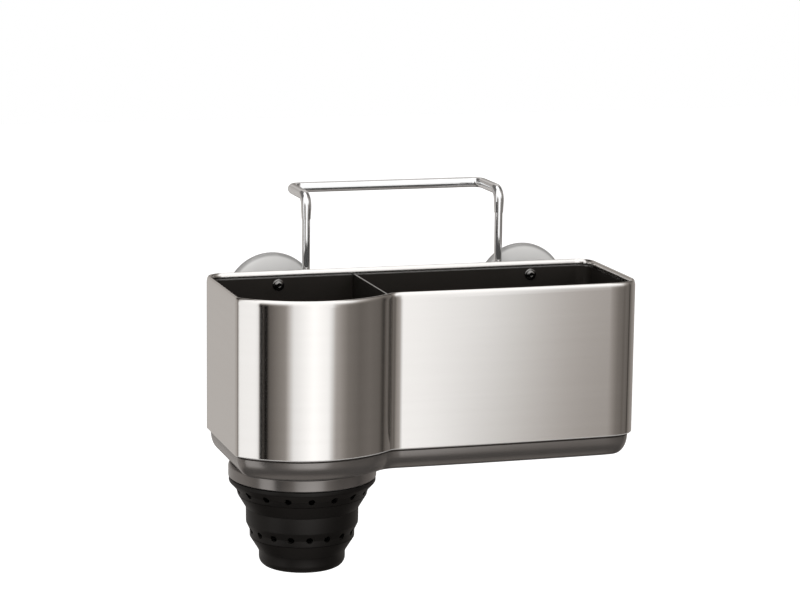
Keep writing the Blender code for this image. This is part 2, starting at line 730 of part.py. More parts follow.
# Screws: four alike, heads inside the wells
for side, word in ((-1, "left"), (1, "right")):
    for row, level in (("upper", 1), ("lower", -1)):
        name = word + "_" + row + "_screw"
        head = []
        for i in range(HEAD_CURVE + 1):
            turn = math.pi / 2 * i / HEAD_CURVE
            head.append((SCREW_HEAD_R * math.sin(turn),
                         SCREW_HEAD_EDGE + (SCREW_HEAD_H - SCREW_HEAD_EDGE) * math.cos(turn)))
        shank = [(SCREW_HEAD_R, 0.0), (SCREW_SHANK_R, 0.0), (SCREW_SHANK_R, -SCREW_L), (0.0, -SCREW_L)]
        screw = revolve(name, head + shank, SCREW_STEEL,
            (side * SUCKER_X, WALL_INNER_Y - GAP, SUCKER_Z + level * SCREW_SPACING / 2),
            False, SCREW_STEPS, (math.pi / 2, 0.0, 0.0))
        drive = cutter(name + "_drive", cylinder_mesh(
            name + "_drive", DRIVE_R, SCREW_HEAD_H - DRIVE_DEPTH, SCREW_HEAD_H + CUT_OVER, 6))
        drive.location = screw.location
        drive.rotation_euler = screw.rotation_euler
        boolean(screw, drive)

for item in PARTS.objects:
    smooth(item)
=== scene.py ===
# %% [markdown]
# # Hanging sink caddy
# A steel caddy with two wells hangs over a sink divider. A wire hanger carries it, two suction
# cups steady it, and a folding silicone cup under the brush well catches the drips. The packed
# model is the frame of the scene: its pieces stay where they are, and finer pieces stand in for
# the ones whose curves and edges the camera sees.

# %% Load the frame
import json
import math
import bpy
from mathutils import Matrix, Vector

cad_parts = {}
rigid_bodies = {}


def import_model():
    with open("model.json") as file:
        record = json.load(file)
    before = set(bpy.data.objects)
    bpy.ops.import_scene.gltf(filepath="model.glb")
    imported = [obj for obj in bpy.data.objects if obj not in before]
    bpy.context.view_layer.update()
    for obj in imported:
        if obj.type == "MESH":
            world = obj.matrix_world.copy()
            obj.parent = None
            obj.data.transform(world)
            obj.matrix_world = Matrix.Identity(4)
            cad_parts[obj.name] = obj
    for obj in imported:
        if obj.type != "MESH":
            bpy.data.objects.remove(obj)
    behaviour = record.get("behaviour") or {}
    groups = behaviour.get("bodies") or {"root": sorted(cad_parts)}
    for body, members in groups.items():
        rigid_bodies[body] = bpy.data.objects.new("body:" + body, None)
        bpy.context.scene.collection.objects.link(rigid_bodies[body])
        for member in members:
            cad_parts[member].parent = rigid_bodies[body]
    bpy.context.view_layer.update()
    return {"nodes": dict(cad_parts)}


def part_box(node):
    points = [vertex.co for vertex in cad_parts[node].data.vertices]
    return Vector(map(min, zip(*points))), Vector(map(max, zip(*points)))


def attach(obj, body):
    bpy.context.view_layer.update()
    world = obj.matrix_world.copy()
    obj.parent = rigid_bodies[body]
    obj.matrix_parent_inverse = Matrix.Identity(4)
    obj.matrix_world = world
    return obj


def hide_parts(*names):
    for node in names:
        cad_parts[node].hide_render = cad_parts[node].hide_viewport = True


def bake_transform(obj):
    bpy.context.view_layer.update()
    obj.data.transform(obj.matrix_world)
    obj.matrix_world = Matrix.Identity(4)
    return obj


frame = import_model()
print("pieces in the frame:", len(frame["nodes"]))

# %% [markdown]
# ## Camera
# The camera comes first, so that every later step can be looked at from the same place. Its
# place, turn and long lens were found by laying the edges of the model over the edges of the
# photograph.

# %% Add the camera
CAMERA_PLACE = (-0.424696, -1.379165, 0.209720)
CAMERA_TURN = (79.4725767, -0.67263104, -17.05834742)
LENS_MM = 119.4

bpy.ops.object.camera_add(location=CAMERA_PLACE,
                          rotation=[math.radians(angle) for angle in CAMERA_TURN])
camera = bpy.context.object
camera.name = "camera"
camera.data.lens = LENS_MM
bpy.context.scene.camera = camera
print("camera lens in mm:", camera.data.lens)

# %% [markdown]
# ## Sizes
# The sizes are those of the solid model, in metres: X to the right, Y to the back, Z up. They are
# written here once, with the plain names that the steps below use. The front of the caddy faces
# -Y, and heights are given as depths below the rim.

# %% Name the sizes
GAP = 0.0003
BACK_Y = -0.0140
RIM_Z = -0.0365
AXIS_X = -0.0690
AXIS_Y = -0.0570
AXIS_TO_BACK = 0.0430
AXIS_TO_LEFT = 0.0440
AXIS_TO_RIGHT = 0.1770
AXIS_TO_PANEL = 0.0365
BULGE_R = 0.0572
BULGE_BACK = 0.0056
REAR_CORNER_R = 0.0100
FRONT_CORNER_R = 0.0135
SIDE_CORNER_R = 0.0050
JUNCTION_R = 0.0065
SMALLEST_R = 0.0006
STEEL_H = 0.0831
STEEL_T = 0.0008
HEM_T = 0.0026
LINER_FLOOR = 0.0760
TRAY_BOTTOM = 0.0952
COLLAR_BOTTOM = 0.1027
LEG_X = 0.0550
LEG_Y = -0.0103
WELL_AXIS = (AXIS_X, AXIS_Y, 0.0)
print("width in mm:", round((AXIS_TO_LEFT + AXIS_TO_RIGHT) * 1000, 1))

# %% [markdown]
# ## Small tools for modelling
# Blender's operators act on all that is selected, so a tool that clears the selection comes
# first. Edges and points are then chosen by their place. The other tools are the pen, which draws
# a line as a hand would, with one point that is extruded along straight runs and spun round the
# centres of arcs.

# %% Select a piece and choose points and edges
def clear_selection():
    if bpy.context.object is not None and bpy.context.object.mode == "EDIT":
        bpy.ops.object.mode_set(mode="OBJECT")
    bpy.ops.object.select_all(action="DESELECT")


def select_alone(piece):
    """Select and activate one piece, so that the next operator acts on nothing else."""
    clear_selection()
    piece.select_set(True)
    bpy.context.view_layer.objects.active = piece


def choose(piece, kind, test):
    """In edit mode, select the vertices or edges of a piece that pass the test.

    The test sees places from the origin of the piece, which is moved only when it is finished.
    """
    bpy.ops.object.mode_set(mode="OBJECT")
    mesh = piece.data
    for group in (mesh.vertices, mesh.edges, mesh.polygons):
        group.foreach_set("select", [False] * len(group))
    for element in getattr(mesh, kind):
        element.select = test(element)
    bpy.context.tool_settings.mesh_select_mode = (kind == "vertices", kind == "edges", False)
    bpy.ops.object.mode_set(mode="EDIT")


def face_outwards():
    bpy.ops.mesh.select_all(action="SELECT")
    bpy.ops.mesh.normals_make_consistent(inside=False)


# %% Finish, modify and copy a piece
SMOOTH_ANGLE = math.radians(32.0)


def finish_piece(piece, name):
    """Back in object mode: name it, put its place in its mesh and shade it smooth."""
    select_alone(piece)
    bpy.ops.object.transform_apply(location=True, rotation=True, scale=True)
    bpy.ops.object.shade_smooth_by_angle(angle=SMOOTH_ANGLE)
    piece.name = name
    piece.data.name = name
    clear_selection()
    print(name, len(piece.data.polygons), "faces")
    return piece


def apply_step(piece, kind, **settings):
    """Add a modifier, set it and apply it."""
    select_alone(piece)
    step = piece.modifiers.new(kind, kind)
    for key, value in settings.items():
        setattr(step, key, value)
    bpy.ops.object.modifier_apply(modifier=step.name)


def even_shine(piece):
    """Shade the large faces flat, so that a rounded edge does not bend the shine beside it."""
    apply_step(piece, "WEIGHTED_NORMAL", weight=100, keep_sharp=True)


def copy_piece(piece, name, shift):
    """A copy with a mesh of its own, moved by the shift."""
    select_alone(piece)
    bpy.ops.object.duplicate(linked=False)
    bpy.ops.transform.translate(value=shift)
    return finish_piece(bpy.context.object, name)


# %% The pen
TO_RIGHT = (1.0, 0.0, 0.0)
FORWARD = (0.0, -1.0, 0.0)
UP = (0.0, 0.0, 1.0)
CLOSE = 0.0000005
DOUBLE = 0.00001
NIB = 0.001


def start_pen(place):
    """A small plane merged to one point, in the piece that is open in edit mode or a new one."""
    if bpy.context.object is not None and bpy.context.object.mode == "EDIT":
        bpy.ops.mesh.select_all(action="DESELECT")
    else:
        clear_selection()
    bpy.ops.mesh.primitive_plane_add(size=NIB, location=(0.0, 0.0, 0.0))
    bpy.ops.object.mode_set(mode="EDIT")
    bpy.ops.mesh.select_mode(type="VERT")
    bpy.ops.mesh.merge(type="CENTER")
    bpy.ops.transform.translate(value=place)
    return bpy.context.object


def pen_line(start, stop):
    step = Vector(stop) - Vector(start)
    if step.length > CLOSE:
        bpy.ops.mesh.extrude_region_move(TRANSFORM_OT_translate={"value": step})


def pen_arc(centre, turn, steps, axis=UP):
    """Spin the last point; a positive turn is anticlockwise about the axis."""
    bpy.ops.mesh.spin(steps=steps, angle=-turn, center=centre, axis=axis)


def merge_close():
    bpy.ops.mesh.select_all(action="SELECT")
    bpy.ops.mesh.remove_doubles(threshold=DOUBLE)


# %% [markdown]
# ## The plan of the caddy
# Seen from above the caddy is a box with a round bulge in front of the brush well. All its walls
# follow this one line, each at its own distance inwards, so the line is drawn by a tool that takes
# the inset. Nine arcs are spun and joined by straight runs. The fine steps matter: brushed steel
# shows every flat in a curve as a stripe. Thin sheet is never quite flat either. The front panel
# swells by less than a millimetre, and its bend starts slowly, which is what grades its shine.

# %% The arcs of the plan
SIDE_STEPS = 6
BULGE_STEPS = 60
JUNCTION_STEPS = 12
PANEL_STEPS = 16
LEAD_STEPS = 5
CORNER_STEPS = 14
QUARTER = math.pi / 2
PANEL_SWELL = math.radians(1.5)
LEAD_R = 0.0500
LEAD_TURN = math.radians(9.0)
SLOW_STEPS = 6
SLOW_R = 0.0240
SLOW_TURN = math.radians(9.5)


def panel_arcs(first_x, inset):
    """The swelling panel, the slow start of its right corner and the corner itself."""
    begin = 3 * QUARTER + PANEL_SWELL
    middle = begin + LEAD_TURN
    corner = Vector((AXIS_TO_RIGHT - FRONT_CORNER_R, 0.0))
    lead = corner - Vector((math.cos(middle), math.sin(middle))) * (LEAD_R - FRONT_CORNER_R)
    front = -AXIS_TO_PANEL - JUNCTION_R * (1.0 - math.cos(PANEL_SWELL))
    shift = front - (lead.y + LEAD_R * math.sin(begin))
    last_x = lead.x + LEAD_R * math.cos(begin)
    panel_r = (last_x - first_x) / 2 / math.sin(PANEL_SWELL)
    return [
        ((first_x + last_x) / 2, front + panel_r * math.cos(PANEL_SWELL), panel_r - inset,
         3 * QUARTER - PANEL_SWELL, begin, PANEL_STEPS),
        (lead.x, lead.y + shift, LEAD_R - inset, begin, middle, LEAD_STEPS),
        (corner.x, corner.y + shift, FRONT_CORNER_R - inset, middle, 4 * QUARTER, CORNER_STEPS),
    ]


def plan_arcs(inset, least_r=SMALLEST_R):
    """Centre, radius, first angle, last angle and steps of each arc, anticlockwise from above."""
    left = AXIS_TO_LEFT - inset
    right = AXIS_TO_RIGHT - inset
    back = AXIS_TO_BACK - inset
    panel = AXIS_TO_PANEL - inset
    bulge = BULGE_R - inset
    side_r = max(SIDE_CORNER_R - inset, least_r)
    rear_r = max(REAR_CORNER_R - inset, SMALLEST_R)
    join_r = JUNCTION_R + inset
    side_x = side_r - left
    side_y = BULGE_BACK - math.sqrt((bulge - side_r) ** 2 - side_x ** 2)
    last = QUARTER - PANEL_SWELL
    slow = last + SLOW_TURN
    ease = SLOW_R - JUNCTION_R
    join_y = -panel - join_r - ease * (math.sin(last) - math.sin(slow))
    join_x = math.sqrt((bulge + join_r) ** 2 - (join_y - BULGE_BACK) ** 2)
    start = math.atan2(side_y - BULGE_BACK, side_x) + math.tau
    stop = math.atan2(join_y - BULGE_BACK, join_x) + math.tau
    return [
        (side_x, side_y, side_r, math.pi, start, SIDE_STEPS),
        (0.0, BULGE_BACK, bulge, start, stop, BULGE_STEPS),
        (join_x, join_y, join_r, stop - math.pi, slow, JUNCTION_STEPS),
        (join_x - ease * math.cos(slow), join_y - ease * math.sin(slow), SLOW_R + inset,
         slow, last, SLOW_STEPS),
        *panel_arcs(join_x - ease * math.cos(slow) + SLOW_R * math.cos(last), inset),
        (right - rear_r, back - rear_r, rear_r, 0.0, QUARTER, CORNER_STEPS),
        (rear_r - left, back - rear_r, rear_r, QUARTER, 2 * QUARTER, CORNER_STEPS),
    ]


print("steps round the plan:", sum(arc[5] for arc in plan_arcs(0.0)))


# %% Draw the plan at an inset and a depth
def draw_plan(inset, depth, least_r):
    """One closed ring of points, added to the piece that is open in edit mode."""
    z = RIM_Z - depth
    first = None
    last = None
    for x, y, radius, begin, end, steps in plan_arcs(inset, least_r):
        centre = (AXIS_X + x, AXIS_Y + y, z)
        here = Vector(centre) + Vector((math.cos(begin), math.sin(begin), 0.0)) * radius
        if first is None:
            first = here
            start_pen(here)
        else:
            pen_line(last, here)
        pen_arc(centre, end - begin, steps)
        last = Vector(centre) + Vector((math.cos(end), math.sin(end), 0.0)) * radius
    pen_line(last, first)
    return bpy.context.object


# %% Loft a wall from rings of the plan
HAIR = 0.00002


def loft_plan(profile, closed, least_r=SMALLEST_R):
    """Rings of the plan at (inset, depth), each bridged to the next.

    The least radius is that of the blunt corner between the bulge and the left side.
    Two rings at one depth give the bridge no way to tell which side they face, and it may join
    them crosswise, so a level step is given a hair of slope.
    """
    clear_selection()
    sizes = []
    before = None
    for inset, depth in profile:
        if before is not None and abs(depth - before) < HAIR:
            depth = before + HAIR
        before = depth
        piece = draw_plan(inset, depth, least_r)
        bpy.ops.mesh.select_linked()
        bpy.ops.mesh.remove_doubles(threshold=DOUBLE)
        bpy.ops.object.mode_set(mode="OBJECT")
        sizes.append(len(piece.data.vertices))
        bpy.ops.object.mode_set(mode="EDIT")
    starts = [0] + sizes[:-1]
    pairs = [(k, k + 1) for k in range(len(profile) - 1)]
    if closed:
        pairs.append((len(profile) - 1, 0))
    for first, second in pairs:
        spans = ((starts[first], sizes[first]), (starts[second], sizes[second]))
        choose(piece, "vertices", lambda v: any(low <= v.index < high for low, high in spans))
        bpy.ops.mesh.select_mode(type="EDGE")
        bpy.ops.mesh.bridge_edge_loops()
    if not closed:
        for k in (0, len(profile) - 1):
            choose(piece, "vertices", lambda v: starts[k] <= v.index < sizes[k])
            bpy.ops.mesh.edge_face_add()
    face_outwards()
    return piece


# %% [markdown]
# ## Steel sleeve
# The sleeve is one strip of brushed steel, wrapped round the wells, with its upper edge folded
# into a hem. The hem is the round bead that catches the light all along the rim. The wall is
# lofted from rings of the plan: over the round of the hem from inside to outside, down the outer
# face, and up the inner one to the foot of the hem. The lower edge is thin, with its outer corner
# broken. A box with bevelled corners would be quicker, but could not swell or ease its bends.

# %% Model the sleeve
HEM_STEPS = 16
HEM_FALL = 0.0036
HEM_INNER_FALL = 0.0024
EDGE_BREAK = 0.0002
LOWER_BREAK = 0.0004

sleeve_profile = []
for k in range(HEM_STEPS + 1):
    turn = math.pi * k / HEM_STEPS
    fall = HEM_INNER_FALL if turn < QUARTER else HEM_FALL
    sleeve_profile.append((HEM_T / 2 * (1.0 + math.cos(turn)), fall * (1.0 - math.sin(turn))))
sleeve_profile += [
    (0.0, STEEL_H - LOWER_BREAK),
    (LOWER_BREAK, STEEL_H),
    (STEEL_T, STEEL_H),
    (STEEL_T, HEM_T + EDGE_BREAK),
    (HEM_T - EDGE_BREAK, HEM_T + EDGE_BREAK),
    (HEM_T, HEM_T),
]
sleeve = loft_plan(sleeve_profile, True)
sleeve = finish_piece(sleeve, "sleeve_shell")
even_shine(sleeve)

# %% [markdown]
# ## Cutting holes
# Slots and holes are cut with the Boolean modifier. The cutters of a row are joined into one tool,
# because one cut is quicker and cleaner than many, and the tool is removed after the cut.

# %% Cut with a row of tools
ROUND_SIDES = 96
SLOT_SIDES = 24
CUT_DEEP = 0.0100
WELL_MIDDLE_Y = (AXIS_Y - AXIS_TO_PANEL + BACK_Y) / 2


def cut_with(piece, tool):
    apply_step(piece, "BOOLEAN", operation="DIFFERENCE", solver="EXACT", object=tool)
    bpy.data.objects.remove(tool, do_unlink=True)


def join_all(tools):
    clear_selection()
    for tool in tools:
        tool.select_set(True)
    bpy.context.view_layer.objects.active = tools[0]
    if len(tools) > 1:
        bpy.ops.object.join()
    return bpy.context.object


def slot_cutter(x, width, length, low, high):
    """A slot with round ends, along Y: a circle whose halves are moved apart."""
    clear_selection()
    bpy.ops.mesh.primitive_circle_add(vertices=SLOT_SIDES, radius=width / 2, fill_type="NGON",
                                      location=(x, WELL_MIDDLE_Y, low))
    tool = bpy.context.object
    reach = (length - width) / 2
    for side in (-1, 1):
        choose(tool, "vertices", lambda v: v.co.y * side > CLOSE)
        bpy.ops.transform.translate(value=(0.0, side * reach, 0.0))
    bpy.ops.mesh.select_all(action="SELECT")
    bpy.ops.mesh.extrude_region_move(TRANSFORM_OT_translate={"value": (0.0, 0.0, high - low)})
    face_outwards()
    bpy.ops.object.mode_set(mode="OBJECT")
    return tool


def slot_row(count, first_x, pitch, size, low, high):
    """Tools for a row of slots of (width, length), joined into one."""
    return join_all([slot_cutter(first_x + pitch * k, *size, low, high) for k in range(count)])


def round_cutter(place, radius, length, turn=(0.0, 0.0, 0.0), sides=ROUND_SIDES):
    clear_selection()
    bpy.ops.mesh.primitive_cylinder_add(vertices=sides, radius=radius, depth=length,
                                        location=place, rotation=turn)
    return bpy.context.object


# %% [markdown]
# ## Liner
# A black plastic tub fits inside the steel. Its walls show only as the dark inside of the wells,
# but from above its floor shows too: a round hole under the brush and a row of drain slots under
# the sponge. Its floor meets the walls in a small round, as a moulding needs.

# %% Model the liner
LINER_OUT = STEEL_T + GAP
LINER_DROP = 0.0012
LINER_TOP = HEM_T + LINER_DROP
FLOOR_T = 0.0020
FLOOR_ROUND = 0.0010
ROUND_STEPS = 4
BRUSH_HOLE_R = 0.0330
SLOT_SIZE = (0.0040, 0.0500)
SLOT_COUNT = 8
SLOT_FIRST_X = AXIS_X + 0.0600
SLOT_PITCH = 0.0140
DIVIDER_X = AXIS_X + 0.0395
DIVIDER_T = 0.0011
GROOVE_DEEP = 0.0008


def quarter(steps):
    """Sine and cosine at even steps over a quarter turn, for rounds."""
    turns = [QUARTER * k / steps for k in range(steps + 1)]
    return [(math.sin(turn), math.cos(turn)) for turn in turns]


def floor_round(inset, floor, radius):
    """Insets and depths of the round between a floor and the inside of its wall."""
    return [(inset + radius - radius * sine, floor - radius + radius * cosine)
            for sine, cosine in quarter(ROUND_STEPS)]


liner = loft_plan(floor_round(HEM_T, LINER_FLOOR, FLOOR_ROUND) + [
    (HEM_T, LINER_TOP),
    (LINER_OUT, LINER_TOP),
    (LINER_OUT, LINER_FLOOR + FLOOR_T),
], False)
floor_low = RIM_Z - LINER_FLOOR - 2 * FLOOR_T
floor_high = RIM_Z - LINER_FLOOR + FLOOR_ROUND / 2
cut_with(liner, slot_row(SLOT_COUNT, SLOT_FIRST_X, SLOT_PITCH, SLOT_SIZE, floor_low, floor_high))
cut_with(liner, round_cutter((AXIS_X, AXIS_Y, floor_low), BRUSH_HOLE_R, CUT_DEEP))

# %% Cut the groove for the divider
clear_selection()
bpy.ops.mesh.primitive_cube_add(size=1.0, location=(
    DIVIDER_X, WELL_MIDDLE_Y, RIM_Z - (LINER_FLOOR + GROOVE_DEEP) / 2))
groove = bpy.context.object
groove.scale = (DIVIDER_T + 2 * GAP, AXIS_TO_PANEL + AXIS_TO_BACK - 2 * (HEM_T - GROOVE_DEEP),
                LINER_FLOOR + GROOVE_DEEP)
cut_with(liner, groove)
liner = finish_piece(liner, "liner_tub")

# %% [markdown]
# ## Base tray
# Below the steel a tray of smoke grey plastic closes the caddy. Only a narrow band of it shows.
# It starts with a shallow groove under the steel, which reads as a dark line, and turns under,
# slowly at first, so the light fades down it and comes back at the bottom, where the floor shines
# in. A quarter of an ellipse gives that.

# %% Model the tray
TRAY_IN = 0.0021
TRAY_T = 0.0020
TRAY_ROUND = 0.0066
TRAY_FALL = 0.0106
TRAY_GROOVE = 0.0007
TRAY_GROOVE_H = 0.0009
TRAY_INNER_ROUND = 0.0050
TRAY_STEPS = 14
TRAY_CORNER_R = 0.0100
SPIGOT_H = 0.0048
TRAY_TOP = STEEL_H - SPIGOT_H
NECK_BORE_R = 0.0350
TRAY_SLOT_SIZE = (0.0050, 0.0300)
TRAY_SLOT_COUNT = 3
TRAY_SLOT_X = AXIS_X + 0.0670
TRAY_SLOT_PITCH = 0.0420

tray_floor = TRAY_BOTTOM - TRAY_T
tray_inner = TRAY_IN + TRAY_T
tray_profile = floor_round(tray_inner, tray_floor, TRAY_INNER_ROUND) + [
    (tray_inner, TRAY_TOP),
    (LINER_OUT, TRAY_TOP),
    (LINER_OUT, STEEL_H + GAP),
    (TRAY_IN + TRAY_GROOVE, STEEL_H + GAP),
    (TRAY_IN + TRAY_GROOVE, STEEL_H + TRAY_GROOVE_H),
]
for sine, cosine in quarter(TRAY_STEPS):
    tray_profile.append((TRAY_IN + TRAY_ROUND - TRAY_ROUND * cosine,
                         TRAY_BOTTOM - TRAY_FALL + TRAY_FALL * sine))
tray = loft_plan(tray_profile, False, TRAY_CORNER_R)
tray_low = RIM_Z - TRAY_BOTTOM - TRAY_T
tray_high = RIM_Z - tray_floor + FLOOR_ROUND
cut_with(tray, slot_row(TRAY_SLOT_COUNT, TRAY_SLOT_X, TRAY_SLOT_PITCH, TRAY_SLOT_SIZE,
                        tray_low, tray_high))
cut_with(tray, round_cutter((AXIS_X, AXIS_Y, tray_low), NECK_BORE_R, CUT_DEEP))
tray = finish_piece(tray, "tray_shell")
even_shine(tray)

# %% [markdown]
# ## Turned pieces
# The collar, the silicone cup, the suction cups and the screws are all round. Cylinders and cones
# could be stacked, but a real section has no seams. So half of it is drawn with the pen, soft
# corners are rounded by a bevel of its points, and it is spun once round the axis of the piece.

# %% A tool for turned pieces
EDGE_STEPS = 3


def turn_piece(name, section, centre=WELL_AXIS, along=UP, steps=ROUND_SIDES, rounding=0.0,
               open_ends=False):
    """Spin the section of (radius, distance along the axis) points round the axis."""
    spots = [Vector(centre) + Vector(TO_RIGHT) * radius + Vector(along) * far
             for radius, far in section]
    clear_selection()
    piece = start_pen(spots[0])
    for here, there in zip(spots, spots[1:]):
        pen_line(here, there)
    if not open_ends:
        pen_line(spots[-1], spots[0])
    merge_close()
    if rounding:
        bpy.ops.mesh.bevel(affect="VERTICES", offset=rounding, segments=EDGE_STEPS,
                           clamp_overlap=True)
    bpy.ops.mesh.select_all(action="SELECT")
    bpy.ops.mesh.spin(steps=steps, angle=math.tau, center=centre, axis=along)
    merge_close()
    face_outwards()
    return finish_piece(piece, name)


# %% Model the collar
COLLAR_OUT = 0.0393
COLLAR_TOP_ROUND = 0.0018
COLLAR_STEPS = 8
COLLAR_EDGE = 0.0005

collar_top = TRAY_BOTTOM + GAP
collar_section = [(NECK_BORE_R, RIM_Z - collar_top)]
for sine, cosine in quarter(COLLAR_STEPS):
    collar_section.append((COLLAR_OUT - COLLAR_TOP_ROUND * (1.0 - sine),
                           RIM_Z - collar_top - COLLAR_TOP_ROUND * (1.0 - cosine)))
collar_section += [
    (COLLAR_OUT, RIM_Z - COLLAR_BOTTOM + COLLAR_EDGE),
    (COLLAR_OUT - COLLAR_EDGE, RIM_Z - COLLAR_BOTTOM),
    (NECK_BORE_R, RIM_Z - COLLAR_BOTTOM),
]
collar = turn_piece("collar_band", collar_section)
even_shine(collar)

# %% [markdown]
# ## Silicone cup
# The cup under the brush well is soft black silicone in three stages, joined by two thin folds, so
# that it can be pushed up flat. The stages are stiff enough to keep their shape and ride on the
# bodies of the model. Two rows of small holes let the brush dry.

# %% Name the sizes of the cup
NECK_LIP_R = 0.0360
NECK_INNER_R = 0.0325
LIP_T = 0.0020
FLANGE_R = COLLAR_OUT - GAP
SHOULDER_R = 0.0368
BAND_R = 0.0352
BAND_INNER_R = 0.0335
RIM_END_R = 0.0344
MIDDLE_R = 0.0300
MIDDLE_WALL_R = 0.0299
MIDDLE_INNER_R = 0.0280
STEP_R = 0.0280
STEP_INNER_R = 0.0258
MIDDLE_END_R = 0.0279
CUP_TOP_R = 0.0236
CUP_R = 0.0230
CUP_ROUND = 0.0045
CUP_INNER_R = 0.0212
CUP_FLOOR_T = 0.0022
CUP_CORNER = ((0.0190, CUP_FLOOR_T), (0.0205, 0.0028), (CUP_INNER_R, CUP_ROUND))
RIM_LOW = COLLAR_BOTTOM + GAP
FLANGE_LOW = 0.1052
SHOULDER_LOW = 0.1076
BAND_LOW = 0.1092
RIM_END_LOW = 0.1124
MIDDLE_TOP = 0.1193
MIDDLE_LOW = 0.1279
STEP_LOW = 0.1319
MIDDLE_END = 0.1356
CUP_TOP = 0.1425
CUP_WALL = 0.1440
CUP_BOTTOM = 0.1515
WEB_T = 0.0012
SOFT_EDGE = 0.0004
CUP_STEPS = 8
print("height of the cup in mm:", round((CUP_BOTTOM - RIM_LOW) * 1000, 1))


# %% Model the stages
def down(profile):
    """Turn depths below the rim into heights."""
    return [(radius, RIM_Z - depth) for radius, depth in profile]


lip_low = tray_floor - GAP
cup_rim = turn_piece("cup_rim_soft", down([
    (NECK_LIP_R, lip_low - LIP_T), (NECK_LIP_R, lip_low), (NECK_BORE_R - GAP, lip_low),
    (NECK_BORE_R - GAP, RIM_LOW), (FLANGE_R, RIM_LOW), (FLANGE_R, FLANGE_LOW),
    (SHOULDER_R, SHOULDER_LOW), (BAND_R, BAND_LOW), (RIM_END_R, RIM_END_LOW),
    (RIM_END_R - WEB_T, RIM_END_LOW), (BAND_INNER_R, BAND_LOW), (NECK_INNER_R, SHOULDER_LOW),
    (NECK_INNER_R, lip_low - LIP_T),
]), rounding=SOFT_EDGE)
middle = turn_piece("cup_middle_soft", down([
    (MIDDLE_R, MIDDLE_TOP), (MIDDLE_WALL_R, MIDDLE_LOW), (STEP_R, STEP_LOW),
    (MIDDLE_END_R, MIDDLE_END), (STEP_INNER_R, MIDDLE_END), (STEP_INNER_R, STEP_LOW),
    (MIDDLE_INNER_R, MIDDLE_LOW), (MIDDLE_INNER_R, MIDDLE_TOP),
]), rounding=SOFT_EDGE)
cup_section = [(CUP_TOP_R, CUP_TOP), (CUP_R, CUP_WALL)]
for sine, cosine in quarter(CUP_STEPS):
    cup_section.append((CUP_R - CUP_ROUND + CUP_ROUND * cosine,
                        CUP_BOTTOM - CUP_ROUND + CUP_ROUND * sine))
cup_section += [(0.0, CUP_BOTTOM), (0.0, CUP_BOTTOM - CUP_FLOOR_T)]
cup_section += [(radius, CUP_BOTTOM - height) for radius, height in CUP_CORNER]
cup_section.append((CUP_INNER_R, CUP_TOP))
cup_end = turn_piece("cup_end_soft", down(cup_section))

# %% Cut the rows of holes
HOLE_COUNT = 18
HOLE_R = 0.0018
HOLE_TURN = math.radians(-6.8)
HOLE_ROWS = ((cup_rim, 0.1089, 0.0360), (middle, 0.1316, 0.0290))
HOLE_CUT_L = 0.0140
HOLE_SIDES = 20
DRAIN_R = 0.0020
DRAIN_RING_R = 0.0110
DRAIN_COUNT = 6
DRAIN_SIDES = 24


def hole_row(depth, reach):
    """Tools for one row of holes, at a depth and at a reach from the axis."""
    tools = []
    for k in range(HOLE_COUNT):
        angle = HOLE_TURN + math.tau * k / HOLE_COUNT - QUARTER
        spot = (AXIS_X + reach * math.cos(angle), AXIS_Y + reach * math.sin(angle), RIM_Z - depth)
        tools.append(round_cutter(spot, HOLE_R, HOLE_CUT_L, (0.0, QUARTER, angle), HOLE_SIDES))
    return join_all(tools)


def drain_cutter(x, y):
    """A tool for one drain hole, at a place measured from the axis of the well."""
    place = (AXIS_X + x, AXIS_Y + y, RIM_Z - CUP_BOTTOM)
    return round_cutter(place, DRAIN_R, CUT_DEEP, sides=DRAIN_SIDES)


for stage, depth, reach in HOLE_ROWS:
    cut_with(stage, hole_row(depth, reach))
drains = [drain_cutter(0.0, 0.0)]
for k in range(DRAIN_COUNT):
    angle = math.tau * k / DRAIN_COUNT
    drains.append(drain_cutter(DRAIN_RING_R * math.cos(angle), DRAIN_RING_R * math.sin(angle)))
cut_with(cup_end, join_all(drains))
for piece in (cup_rim, middle, cup_end):
    finish_piece(piece, piece.name)

# %% [markdown]
# ## Folds of the cup
# Each fold is a thin cone between two stages. When a stage is pushed up its cone turns over, so the
# fold is made with many rings.

# %% Model the folds
FOLD_RINGS = 10


def fold_section(top_r, top, low_r, low):
    outer = []
    for k in range(FOLD_RINGS + 1):
        part = k / FOLD_RINGS
        outer.append((top_r + (low_r - top_r) * part, top + (low - top) * part))
    inner = [(radius - WEB_T, depth) for radius, depth in reversed(outer)]
    return down(outer + inner)


upper_fold = turn_piece("upper_fold", fold_section(
    RIM_END_R, RIM_END_LOW, MIDDLE_R + GAP, MIDDLE_TOP))
lower_fold = turn_piece("lower_fold", fold_section(
    MIDDLE_END_R, MIDDLE_END, CUP_TOP_R, CUP_TOP))

# %% [markdown]
# ## Hanger
# The hanger is one thick wire, bent at four places. A curve with a bevel would be quicker, but here
# it is modelled as the bending goes: a circle is extruded along each straight run and spun round
# the centre of each bend. Its ends taper a little towards the thinner rods, which go up into them.
# They are left open, with a narrow gap round each rod. A ring that closes the gap would be truer.

# %% Model the thick wire
BAR_R = 0.0028
ARM_DEPTH = 0.0330
ARM_BEND_R = 0.0060
PLAN_BEND_R = 0.0055
END_R = 0.00245
END_TAPER = ((0.0035, 0.00265), (0.0025, BAR_R))
BAR_END_DROP = 0.0125
BAR_END_Z = BAR_R - BAR_END_DROP
BEND_STEPS = 16
WIRE_SIDES = 32


def push(x, y, z):
    bpy.ops.mesh.extrude_region_move(TRANSFORM_OT_translate={"value": (x, y, z)})


